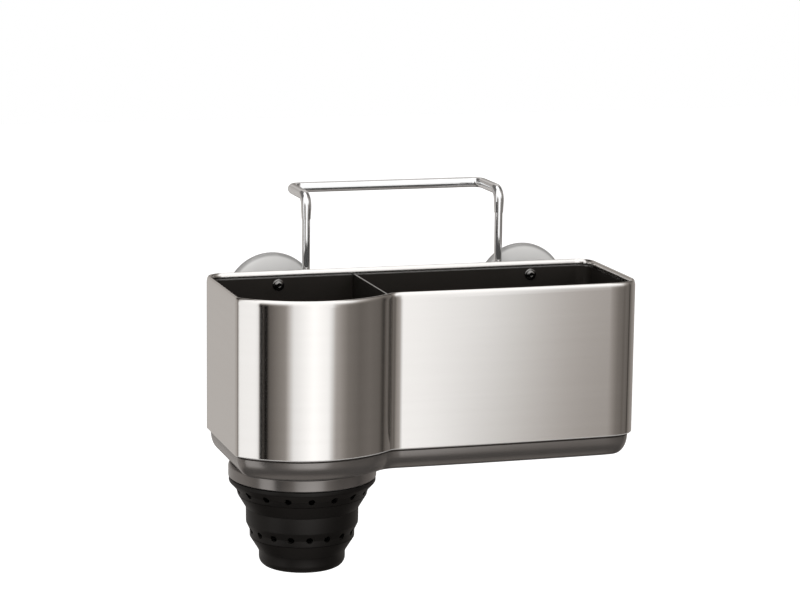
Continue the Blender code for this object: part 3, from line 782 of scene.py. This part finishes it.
def swell(factor, x, z):
    """Make the selected circle larger or smaller about the axis of a leg."""
    bpy.ops.transform.resize(value=(factor, factor, 1.0), center_override=(x, LEG_Y, z))


clear_selection()
bpy.ops.mesh.primitive_circle_add(vertices=WIRE_SIDES, radius=END_R, fill_type="NOTHING",
                                  location=(-LEG_X, LEG_Y, BAR_END_Z))
hanger = bpy.context.object
bpy.ops.object.mode_set(mode="EDIT")
bpy.ops.mesh.select_all(action="SELECT")
back_y = LEG_Y + ARM_DEPTH
radius = END_R
level = BAR_END_Z
for step, wider in END_TAPER:
    push(0.0, 0.0, step)
    level += step
    swell(wider / radius, -LEG_X, level)
    radius = wider
push(0.0, 0.0, BAR_R - ARM_BEND_R - level)
pen_arc((-LEG_X, LEG_Y + ARM_BEND_R, BAR_R - ARM_BEND_R), -QUARTER, BEND_STEPS, TO_RIGHT)
push(0.0, ARM_DEPTH - ARM_BEND_R - PLAN_BEND_R, 0.0)
pen_arc((-LEG_X + PLAN_BEND_R, back_y - PLAN_BEND_R, BAR_R), -QUARTER, BEND_STEPS)
push(2 * (LEG_X - PLAN_BEND_R), 0.0, 0.0)
pen_arc((LEG_X - PLAN_BEND_R, back_y - PLAN_BEND_R, BAR_R), -QUARTER, BEND_STEPS)
push(0.0, -(ARM_DEPTH - ARM_BEND_R - PLAN_BEND_R), 0.0)
pen_arc((LEG_X, LEG_Y + ARM_BEND_R, BAR_R - ARM_BEND_R), QUARTER, BEND_STEPS, TO_RIGHT)
push(0.0, 0.0, level - BAR_R + ARM_BEND_R)
for (step, wider), narrower in zip(reversed(END_TAPER), (END_TAPER[0][1], END_R)):
    push(0.0, 0.0, -step)
    level -= step
    swell(narrower / wider, LEG_X, level)
merge_close()
face_outwards()
hanger = finish_piece(hanger, "hanger_wire")
even_shine(hanger)
print("bar and arms in mm:", round(1000 * 2 * LEG_X), round(1000 * ARM_DEPTH))

# %% [markdown]
# ## Rods
# A thinner rod goes up into each end of the wire and down to a stop below its bracket, where it
# slides. A plain cylinder would have razor-sharp ends, so a circle is extruded to the length of the
# rod and both its rims are bevelled. The second rod is a copy.

# %% Model the rods
ROD_R = 0.0022
BRACKET_LOW = 0.0330
SLIDE_UP = 0.0200
STOP_SLACK = 0.0005
STOP_H = 0.0025
ROD_IN_WIRE = 0.0050
ROD_TOP = BAR_END_Z + ROD_IN_WIRE - GAP
ROD_LOW = RIM_Z - BRACKET_LOW - SLIDE_UP - STOP_SLACK - STOP_H
ROD_EDGE = 0.0005
NEAR = 0.00001


def is_level(piece, edge):
    """True for an edge of one of the two rims."""
    first, second = [piece.data.vertices[v].co for v in edge.vertices]
    return abs(first.z - second.z) < NEAR


clear_selection()
bpy.ops.mesh.primitive_circle_add(vertices=WIRE_SIDES, radius=ROD_R, fill_type="NGON",
                                  location=(-LEG_X, LEG_Y, ROD_LOW))
left_rod = bpy.context.object
bpy.ops.object.mode_set(mode="EDIT")
bpy.ops.mesh.select_all(action="SELECT")
push(0.0, 0.0, ROD_TOP - ROD_LOW)
face_outwards()
choose(left_rod, "edges", lambda e: is_level(left_rod, e))
bpy.ops.mesh.bevel(offset=ROD_EDGE, segments=EDGE_STEPS, affect="EDGES")
left_rod = finish_piece(left_rod, "left_rod_polished")
right_rod = copy_piece(left_rod, "right_rod_polished", (2 * LEG_X, 0.0, 0.0))
for rod in (left_rod, right_rod):
    even_shine(rod)

# %% [markdown]
# ## Suction cups
# Two soft vinyl cups press on the divider behind the caddy. Each is a thin bell with a flat lip,
# a hollow face and a stub that plugs into its bracket, all in one section. The second is a copy.

# %% Model the suction cups
SUCKER_OFFSET = 0.0170
SUCKER_DROP = 0.0180
SUCKER_X = LEG_X + SUCKER_OFFSET
SUCKER_Z = RIM_Z - SUCKER_DROP
SUCKER_R = 0.0256
SUCKER_EDGE = 0.0008
SUCKER_DEPTH = 0.0062
SUCKER_NECK_R = 0.0085
SUCKER_FLAT_R = 0.0230
SUCKER_HOLLOW = 0.0031
PLUG_R = 0.0060
PLUG_L = 0.0043
BRACKET_T = 0.0072
PLUG_END = BACK_Y + GAP + BRACKET_T - PLUG_L
CURVE_STEPS = 14
SUCKER_SIDES = 72


def sucker_section():
    """Lip, bell, stub, then back through the hollow; distance along -Y from the divider."""
    bell = [(SUCKER_R, 0.0)]
    hollow = []
    for sine, cosine in quarter(CURVE_STEPS):
        bell.append((SUCKER_R - (SUCKER_R - SUCKER_NECK_R) * (1.0 - cosine),
                     SUCKER_EDGE + (SUCKER_DEPTH - SUCKER_EDGE) * sine))
        hollow.append((SUCKER_FLAT_R * sine, SUCKER_HOLLOW * cosine))
    stub = [(PLUG_R, SUCKER_DEPTH), (PLUG_R, -PLUG_END), (0.0, -PLUG_END)]
    return bell + stub + hollow


left_sucker = turn_piece("left_suction_cup_soft", sucker_section(), (-SUCKER_X, 0.0, SUCKER_Z),
                         FORWARD, SUCKER_SIDES)
right_sucker = copy_piece(left_sucker, "right_suction_cup_soft", (2 * SUCKER_X, 0.0, 0.0))

# %% [markdown]
# ## Screws
# Four screws hold the brackets to the back wall, and their round heads show inside the wells. One
# is turned, its six-sided drive is cut, and three copies are made, each with its own mesh.

# %% Model the screws
HEAD_R = 0.0032
HEAD_H = 0.0018
HEAD_EDGE = 0.0005
HEAD_BREAK = 0.0002
DOME_R = 0.0024
DOME_LOW = 0.0008
DOME_STEPS = 8
DOME_FOOT = 0.0001
SHANK_R = 0.0019
SCREW_L = 0.0079
DRIVE_R = 0.0014
DRIVE_DEEP = 0.0010
DRIVE_SIDES = 6
SCREW_SIDES = 40
SCREW_SPACING = 0.0210
HEAD_Y = BACK_Y - HEM_T - GAP


def screw_section():
    """A low dome on a thin flange, then the shank; distance along the axis out of the wall."""
    dome = [(DOME_R * sine, DOME_LOW + (HEAD_H - DOME_LOW) * cosine)
            for sine, cosine in quarter(DOME_STEPS)]
    flange = [(DOME_R + DOME_FOOT, HEAD_EDGE + DOME_FOOT), (HEAD_R - HEAD_BREAK, HEAD_EDGE),
              (HEAD_R, HEAD_EDGE - HEAD_BREAK), (HEAD_R, 0.0)]
    shank = [(SHANK_R, 0.0), (SHANK_R, -SCREW_L), (0.0, -SCREW_L)]
    return dome + flange + shank


first_z = SUCKER_Z + SCREW_SPACING / 2
first = turn_piece("left_upper_screw_steel", screw_section(), (-SUCKER_X, HEAD_Y, first_z),
                   FORWARD, SCREW_SIDES, open_ends=True)
cut_with(first, round_cutter((-SUCKER_X, HEAD_Y - HEAD_H, first_z), DRIVE_R, 2 * DRIVE_DEEP,
                             (QUARTER, 0.0, 0.0), DRIVE_SIDES))
screws = {"left_upper_screw": finish_piece(first, "left_upper_screw_steel")}
for name, x, z in (("left_lower_screw", 0.0, -SCREW_SPACING),
                   ("right_upper_screw", 2 * SUCKER_X, 0.0),
                   ("right_lower_screw", 2 * SUCKER_X, -SCREW_SPACING)):
    screws[name] = copy_piece(first, name + "_steel", (x, 0.0, z))

# %% [markdown]
# ## Shader arithmetic
# A finish is a small network of nodes. It could be linked by hand, node by node, but three helpers
# keep it readable. Value wraps one socket, so that a sum or a product of sockets can be written as
# in Python. Maker adds any other node from its type, its settings and its inputs. Finish is a Maker
# for one material.

# %% A value
class Value:
    """One output of a node. Arithmetic on it adds Math nodes."""
    def __init__(self, maker, socket):
        self.maker = maker
        self.socket = socket

    def __add__(self, other):
        return self.maker.math("ADD", self, other)

    def __radd__(self, other):
        return self.maker.math("ADD", other, self)

    def __sub__(self, other):
        return self.maker.math("SUBTRACT", self, other)

    def __rsub__(self, other):
        return self.maker.math("SUBTRACT", other, self)

    def __mul__(self, other):
        return self.maker.math("MULTIPLY", self, other)

    def __rmul__(self, other):
        return self.maker.math("MULTIPLY", other, self)

    def __pow__(self, other):
        return self.maker.math("POWER", self, other)


# %% A maker of nodes
class Maker:
    """Adds nodes to one tree."""
    def __init__(self, tree):
        self.tree = tree

    def put(self, socket, value):
        if isinstance(value, Value):
            self.tree.links.new(value.socket, socket)
        elif isinstance(value, tuple) and len(value) == 3 and socket.type == "RGBA":
            socket.default_value = value + (1.0,)
        else:
            socket.default_value = value

    def node(self, kind, settings=None, inputs=None, out=0):
        """A new node; out names the output that is wanted, or a tuple of several."""
        made = self.tree.nodes.new(kind)
        for key, value in (settings or {}).items():
            if key == "stops":
                self.set_stops(made.color_ramp, value)
            else:
                setattr(made, key, value)
        for key, value in (inputs or {}).items():
            self.put(made.inputs[key], value)
        if isinstance(out, tuple):
            return [Value(self, made.outputs[key]) for key in out]
        return Value(self, made.outputs[out])

    def set_stops(self, ramp, stops):
        while len(ramp.elements) < len(stops):
            ramp.elements.new(1.0)
        for element, (place, level) in zip(ramp.elements, stops):
            element.position = place
            element.color = (level, level, level, 1.0)

    def math(self, operation, first, second=0.0):
        return self.node("ShaderNodeMath", {"operation": operation}, {0: first, 1: second})

    def window(self, value, low, high):
        """0 below low, 1 above high, smooth between."""
        return self.node("ShaderNodeMapRange", {"interpolation_type": "SMOOTHSTEP"},
                         {"Value": value, "From Min": low, "From Max": high})

    def mix(self, factor, first, second):
        """A mix of two colours."""
        return self.node("ShaderNodeMix", {"data_type": "RGBA"},
                         {"Factor": factor, 6: first, 7: second}, out=2)

    def place(self, kind):
        """X, Y and Z of the texture coordinates of one kind."""
        spot = self.node("ShaderNodeTexCoord", out=kind)
        return self.node("ShaderNodeSeparateXYZ", {}, {0: spot}, out=("X", "Y", "Z"))


# %% A finish
class Finish(Maker):
    """A material with one Principled shader."""
    def __init__(self, name, **steady):
        self.material = bpy.data.materials.new(name)
        self.material.use_nodes = True
        super().__init__(self.material.node_tree)
        self.shader = self.tree.nodes["Principled BSDF"]
        for key, value in steady.items():
            self.put(self.shader.inputs[key.replace("_", " ")], value)

    def set(self, key, value):
        self.put(self.shader.inputs[key], value)

    def noise(self, cells, detail=2.0, rough=0.5):
        """Noise on Object coordinates, with its cells per metre, alike or along X, Y and Z."""
        stretch = cells if isinstance(cells, tuple) else (cells, cells, cells)
        spot = self.node("ShaderNodeTexCoord", out="Object")
        spot = self.node("ShaderNodeMapping", {}, {"Vector": spot, "Scale": stretch})
        return self.node("ShaderNodeTexNoise", {}, {"Vector": spot, "Scale": 1.0,
                                                    "Detail": detail, "Roughness": rough})

    def bump(self, height, strength, distance):
        self.set("Normal", self.node("ShaderNodeBump", {}, {
            "Height": height, "Strength": strength, "Distance": distance}, out="Normal"))

    def done(self):
        print(self.material.name, len(self.tree.nodes), "nodes")
        return self.material


# %% [markdown]
# ## Studio
# Polished metal is a picture of the room, so the room is designed first. Round the caddy stand
# tall white cards with dark gaps between them, as in a product studio: they make the upright
# bands on the bulge. They are written as the world's brightness by direction, seen only in
# reflections. Over the cards hang lights, which the rims show, and below them lies a pale floor.
# All else gets the plain even light of the world and one large soft lamp, and the camera sees
# white.

# %% Cards round the caddy
CARDS = (
    (-122, 0.56), (-100, 0.40), (-85.8, 0.23), (-82.6, 1.22), (-64, 1.25), (-59.3, 1.17),
    (-58, 0.0), (-55.4, 0.0), (-54, 0.12), (-52.8, 0.0), (-49.6, 0.01), (-47.6, 0.14),
    (-30, 0.36), (-25.5, 0.72), (-21.3, 1.08), (-0.5, 1.50), (14.7, 1.29), (17.2, 1.10),
    (20.2, 0.80), (23.2, 0.50), (31, 0.345), (37, 0.235), (51, 0.165), (64, 0.195),
    (78, 0.16), (84, 0.04), (88, 0.16), (104, 0.30), (139, 0.42), (155, 0.18), (172, 0.20),
    (180, 0.56),
)
OVERHEAD = (
    (-180, 0.65), (-168, 0.15), (-155, 0.05), (-92, 0.05), (-78, 1.30), (-60, 1.50),
    (42, 1.50), (52, 0.90), (66, 0.45), (90, 0.25), (110, 0.04), (128, 0.03), (145, 0.60),
    (180, 0.65),
)
CARD_TOP = 2.0
CARD_FOOT = 0.08
TOP_LIGHT = 1.60
LOW_LIGHT = 0.38
EVEN_LIGHT = 0.80
WHITE = (1.0, 1.0, 1.0)
WARM = (1.0, 0.885, 0.79)

world = bpy.data.worlds.new("studio")
world.use_nodes = True
bpy.context.scene.world = world
room = Maker(world.node_tree)
background = world.node_tree.nodes["Background"]
aim_x, aim_y, aim_z = room.place("Generated")
azimuth = room.math("ARCTAN2", aim_x, aim_y * -1.0) * (0.5 / math.pi) + 0.5
print("cards:", len(CARDS), "overhead:", len(OVERHEAD))

# %% [markdown]
# ## Brightness by direction
# A ramp gives the level round the caddy. Other ramps could be laid over it for the height, but the
# studio changes only at a few heights, so smooth steps between two levels are enough, and each pair
# of numbers is the start and the end of one. Heights are sines: 0 is level with the caddy, 1 right
# above it and -1 right below. The stretch of cards between the two fades grows darker downwards.

# %% Blend the cards, the lights over them and the floor
FADE_FROM = (0.543, 0.552)
FADE_TO = (0.568, 0.580)
FADE_DOWN = (-0.44, 0.0)
FADE_CAP = -0.15
FADE_MEAN = 0.53
CARD_END = (0.50, 0.68)
FLOOR_START = (0.85, 0.97)
OVERHEAD_START = (0.02, 0.55)
TOP_START = (0.88, 0.94)


def ring_of(levels, turn):
    """The level by direction round the caddy; the turn is 0 to 1, from behind to behind."""
    colour = room.node("ShaderNodeValToRGB", {
        "stops": [(angle / 360 + 0.5, level / CARD_TOP) for angle, level in levels]},
        {"Fac": turn}, out="Color")
    return room.node("ShaderNodeSeparateColor", {}, {"Color": colour}, out="Red") * CARD_TOP


def blended(factor, first, second):
    return first + factor * (second - first)


level = ring_of(CARDS, azimuth)
fading = room.window(azimuth, *FADE_FROM) * (1.0 - room.window(azimuth, *FADE_TO))
low_aim = room.math("MINIMUM", aim_z, FADE_CAP)
level = level * (1.0 + fading * (room.window(low_aim, *FADE_DOWN) - FADE_MEAN))
level = blended(room.window(aim_z * -1.0, *CARD_END), level, CARD_FOOT)
level = blended(room.window(aim_z * -1.0, *FLOOR_START), level, LOW_LIGHT)
level = blended(room.window(aim_z, *OVERHEAD_START), level, ring_of(OVERHEAD, azimuth))
level = blended(room.window(aim_z, *TOP_START), level, TOP_LIGHT)
seen, shine, through = room.node("ShaderNodeLightPath", out=(
    "Is Camera Ray", "Is Glossy Ray", "Is Transmission Ray"))
strength = blended(shine, EVEN_LIGHT, level)
clear = room.math("MAXIMUM", seen, through)
room.put(background.inputs["Strength"], blended(clear, strength, 1.0))
dim = shine * (1.0 - clear) * (1.0 - room.math("MINIMUM", level, 1.0))
room.put(background.inputs["Color"], room.mix(dim, WHITE, WARM))
print("studio:", len(world.node_tree.nodes), "nodes")

# %% [markdown]
# ## Floor and lamp
# The caddy hangs clear of everything, so the floor lies well below it. It is plain and pale, and
# keeps the soft shadow. Metal sees the cards in place of the floor. One large lamp from the upper
# left is enough: more would put rival highlights on the plastics.

# %% Add the floor and the lamp
FLOOR_DROP = 0.25
FLOOR_SIZE = 8.0
FLOOR_Z = RIM_Z - CUP_BOTTOM - FLOOR_DROP
FLOOR_PALE = (0.86, 0.86, 0.86)
FLOOR_LIFT = 0.45
LAMP_PLACE = (-0.5, -1.1, 1.2)
LAMP_TARGET = Vector((0.0, -0.05, -0.08))
LAMP_SIZE = (1.0, 0.8)
LAMP_WATTS = 9.0

clear_selection()
bpy.ops.mesh.primitive_plane_add(size=FLOOR_SIZE, location=(0.0, 0.0, FLOOR_Z))
floor = bpy.context.object
floor.name = "floor"
floor.visible_glossy = False
pale = Finish("pale_floor", Roughness=0.9)
pale.set("Base Color", FLOOR_PALE)
pale.set("Emission Color", WHITE)
pale.set("Emission Strength", pale.node("ShaderNodeLightPath", out="Is Camera Ray") * FLOOR_LIFT)
floor.data.materials.append(pale.done())

bpy.ops.object.light_add(type="AREA", location=LAMP_PLACE)
lamp = bpy.context.object
lamp.name = "soft_lamp"
lamp.data.shape = "RECTANGLE"
lamp.data.size, lamp.data.size_y = LAMP_SIZE
lamp.data.energy = LAMP_WATTS
lamp.rotation_euler = (LAMP_TARGET - lamp.location).to_track_quat("-Z", "Y").to_euler()
lamp.visible_glossy = False
print("floor at", round(FLOOR_Z, 3))

# %% [markdown]
# ## Steel and chrome
# Each finish starts from the colour of the real material and gets the unevenness that the eye
# expects of it. Brushed steel could be a plain rough metal, but then its reflections would blur
# all round. Its grain runs level, so the shader is anisotropic, and noise squeezed along Z gives
# the fine lines. A thin band along the lower edge is made less metallic, so that it shows paler:
# a painted highlight where the edge catches the light. Chrome has only a faint haze, and the
# screws are of a dull dark steel.

# %% Brushed steel
SKIN_H = 0.0001
GRAIN = (30.0, 30.0, 3200.0)
GRAIN_GROUPS = (7.0, 7.0, 300.0)
STEEL_COLOURS = ((0.685, 0.665, 0.645), (0.715, 0.697, 0.677))
# Height band of the painted highlight on the lower edge: less metal there, so it shows paler.
EDGE_HIGHLIGHT_BAND = (0.0003, 0.0007)


def brushed_steel():
    """Grain runs level round the walls and draws reflections out, up and down."""
    finish = Finish("brushed_steel", Anisotropic=0.9, Anisotropic_Rotation=0.25)
    height = finish.place("Object")[2]
    low = RIM_Z - STEEL_H
    # Painted highlight: below this the steel is less metallic, so its lower edge shows as a pale
    # line.
    above_edge_highlight = finish.window(height, low + EDGE_HIGHLIGHT_BAND[0], low + EDGE_HIGHLIGHT_BAND[1])
    finish.set("Metallic", 0.35 + 0.65 * above_edge_highlight)
    fine = finish.noise(GRAIN, rough=0.6)
    broad = finish.noise(GRAIN_GROUPS)
    finish.set("Roughness", 0.085 + fine * 0.045 + broad * 0.02)
    finish.set("Base Color", finish.mix(broad, *STEEL_COLOURS))
    finish.bump(fine, 0.02, SKIN_H)
    return finish.done()


steel = brushed_steel()


# %% Polished chrome and screw steel
def hazed_metal(name, metallic, colours, cells, roughness, spread):
    """A metal with a haze of the given cells per metre in its colour and its gloss."""
    finish = Finish(name, Metallic=metallic)
    haze = finish.noise(cells, 3.0)
    finish.set("Roughness", roughness + haze * spread)
    finish.set("Base Color", finish.mix(haze, *colours))
    return finish.done()


polished = hazed_metal("chrome", 0.88, ((0.74, 0.74, 0.745), (0.80, 0.80, 0.80)),
                       cells=160.0, roughness=0.05, spread=0.06)
screw_steel = hazed_metal("screw_steel", 1.0, ((0.16, 0.155, 0.15), (0.24, 0.232, 0.224)),
                          cells=900.0, roughness=0.12, spread=0.10)

# %% [markdown]
# ## Plastics and silicone
# Moulded plastic is never one even colour: it is faintly cloudy, its gloss varies and its skin is
# very finely pitted. Noise at two sizes gives all three. The smoke plastic has some metal in it,
# which stands for its deep gloss, and silicone has little shine of its own. The divider is the
# liner's plastic, with a painted highlight: a pale line along its top edge, where it catches the
# light.

# %% Moulded plastics and silicone
CLOUD = 70.0
BLACK = ((0.0085, 0.0070, 0.0056), (0.0115, 0.0096, 0.0078))
SMOKE = ((0.195, 0.181, 0.171), (0.225, 0.209, 0.199))
SILICONE_BLACK = ((0.0022, 0.0020, 0.0018), (0.0036, 0.0032, 0.0030))
BRACKET_BLACK = ((0.026, 0.026, 0.027), (0.034, 0.034, 0.035))


def moulded(name, colours, roughness, spread, grain, bump, **steady):
    """A moulded surface: cloudy colour, uneven gloss and a very fine skin."""
    finish = Finish(name, **steady)
    cloud = finish.noise(CLOUD, 3.0)
    skin = finish.noise(grain)
    finish.set("Base Color", finish.mix(cloud, *colours))
    finish.set("Roughness", roughness + cloud * spread + skin * spread)
    if bump:
        finish.bump(skin, bump, SKIN_H)
    return finish.done()


black_plastic = moulded("black_plastic", BLACK, roughness=0.36, spread=0.06, grain=2400.0,
                        bump=0.10, Specular_Tint=(1.0, 0.93, 0.88))
smoke_plastic = moulded("smoke_plastic", SMOKE, roughness=0.18, spread=0.03, grain=900.0,
                        bump=0.0, Metallic=0.75)
silicone = moulded("black_silicone", SILICONE_BLACK, roughness=0.42, spread=0.04, grain=1500.0,
                   bump=0.05, Specular_IOR_Level=0.26, Specular_Tint=(1.0, 0.94, 0.90))
bracket_plastic = moulded("bracket_plastic", BRACKET_BLACK, roughness=0.46, spread=0.08,
                          grain=2000.0, bump=0.15)

# %% The divider's plastic
# Band, half width and grey of the painted highlight along the divider's top edge.
HIGHLIGHT_TOP_BAND = (0.0003, 0.0001)
HIGHLIGHT_HALF_WIDTH = (0.0002, 0.0005)
HIGHLIGHT_GREY = (0.27, 0.26, 0.25)


def divider_plastic():
    """The liner's plastic, with a painted highlight along the middle of the plate's top edge."""
    finish = Finish("divider_plastic")
    cloud = finish.noise(CLOUD, 3.0)
    x, _, z = finish.place("Object")
    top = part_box("divider_plate")[1][2]
    # Painted highlight: the top edge is paler along its middle, where it catches the light.
    edge = finish.window(z, top - HIGHLIGHT_TOP_BAND[0], top - HIGHLIGHT_TOP_BAND[1])
    off = finish.math("ABSOLUTE", x - DIVIDER_X)
    edge = edge * (1.0 - finish.window(off, *HIGHLIGHT_HALF_WIDTH))
    finish.set("Base Color", finish.mix(edge, finish.mix(cloud, *BLACK), HIGHLIGHT_GREY))
    finish.set("Roughness", 0.36 + cloud * 0.08)
    return finish.done()


highlight_painted_plastic = divider_plastic()

# %% [markdown]
# ## Vinyl
# The suction cups are of cloudy soft vinyl. Full transmission would make them glass, so only a
# third of the light passes. The thin lip looks darker, because light leaves through its edge, and
# a window on the distance from the axis of the cup paints it.

# %% Clear vinyl
VINYL_COLOURS = ((0.80, 0.79, 0.775), (0.85, 0.84, 0.825))
LIP_GREY = (0.42, 0.41, 0.40)
LIP_BAND = (0.0022, 0.0009)


def clear_vinyl():
    """Cloudy vinyl with a darker lip. X is folded over, so that one finish serves both cups."""
    finish = Finish("clear_vinyl", Transmission_Weight=0.35, IOR=1.5)
    cloud = finish.noise(60.0)
    x, _, z = finish.place("Object")
    off_x = finish.math("ABSOLUTE", x) - SUCKER_X
    off_z = z - SUCKER_Z
    reach = (off_x * off_x + off_z * off_z) ** 0.5
    lip = finish.window(reach, SUCKER_R - LIP_BAND[0], SUCKER_R - LIP_BAND[1])
    finish.set("Base Color", finish.mix(lip, finish.mix(cloud, *VINYL_COLOURS), LIP_GREY))
    finish.set("Roughness", 0.22 + cloud * 0.08)
    return finish.done()


vinyl = clear_vinyl()
print("finishes:", len(bpy.data.materials))

# %% [markdown]
# ## Dress the caddy
# Every new piece but the two folds rides on its body; each stands for its CAD node and takes its
# finish. The CAD nodes whose shape is already right only get their finish.

# %% Place the pieces on their bodies
DRESS = (
    (sleeve, "caddy", "steel_sleeve", "brushed_steel", steel),
    (liner, "caddy", "liner", "black_plastic", black_plastic),
    (tray, "caddy", "base_tray", "smoke_plastic", smoke_plastic),
    (collar, "caddy", "collar_ring", "smoke_plastic", smoke_plastic),
    (cup_rim, "caddy", "cup_rim", "black_silicone", silicone),
    (middle, "cup_middle", "middle_ring", "black_silicone", silicone),
    (cup_end, "cup_end", "cup_bottom", "black_silicone", silicone),
    (upper_fold, None, "upper_web", "black_silicone", silicone),
    (lower_fold, None, "lower_web", "black_silicone", silicone),
    (hanger, "hanger", "hanger_bar", "chrome", polished),
    (left_rod, "hanger", "left_rod", "chrome", polished),
    (right_rod, "hanger", "right_rod", "chrome", polished),
    (left_sucker, "caddy", "left_suction_cup", "clear_vinyl", vinyl),
    (right_sucker, "caddy", "right_suction_cup", "clear_vinyl", vinyl),
)


def dress(piece, body, node, slot, finish):
    piece.data.materials.clear()
    piece.data.materials.append(finish)
    if body:
        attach(piece, body)
    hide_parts(node)


for row in DRESS:
    dress(*row)
for node, screw in screws.items():
    dress(screw, "caddy", node, "screw_steel", screw_steel)
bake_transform(upper_fold)
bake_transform(lower_fold)

# %% Finish the CAD nodes that stay
KEPT = {"divider_plate": highlight_painted_plastic, "left_bracket": bracket_plastic,
        "right_bracket": bracket_plastic, "left_rod_stop": bracket_plastic,
        "right_rod_stop": bracket_plastic}
for node, finish in KEPT.items():
    for slot in frame["nodes"][node].material_slots:
        slot.material = finish
print("pieces:", len(DRESS) + len(screws) + len(KEPT))

# %% [markdown]
# ## Finish
# The view transform is Standard, so that a colour renders as it is written.

# %% Set the view transform
bpy.context.scene.view_settings.view_transform = "Standard"
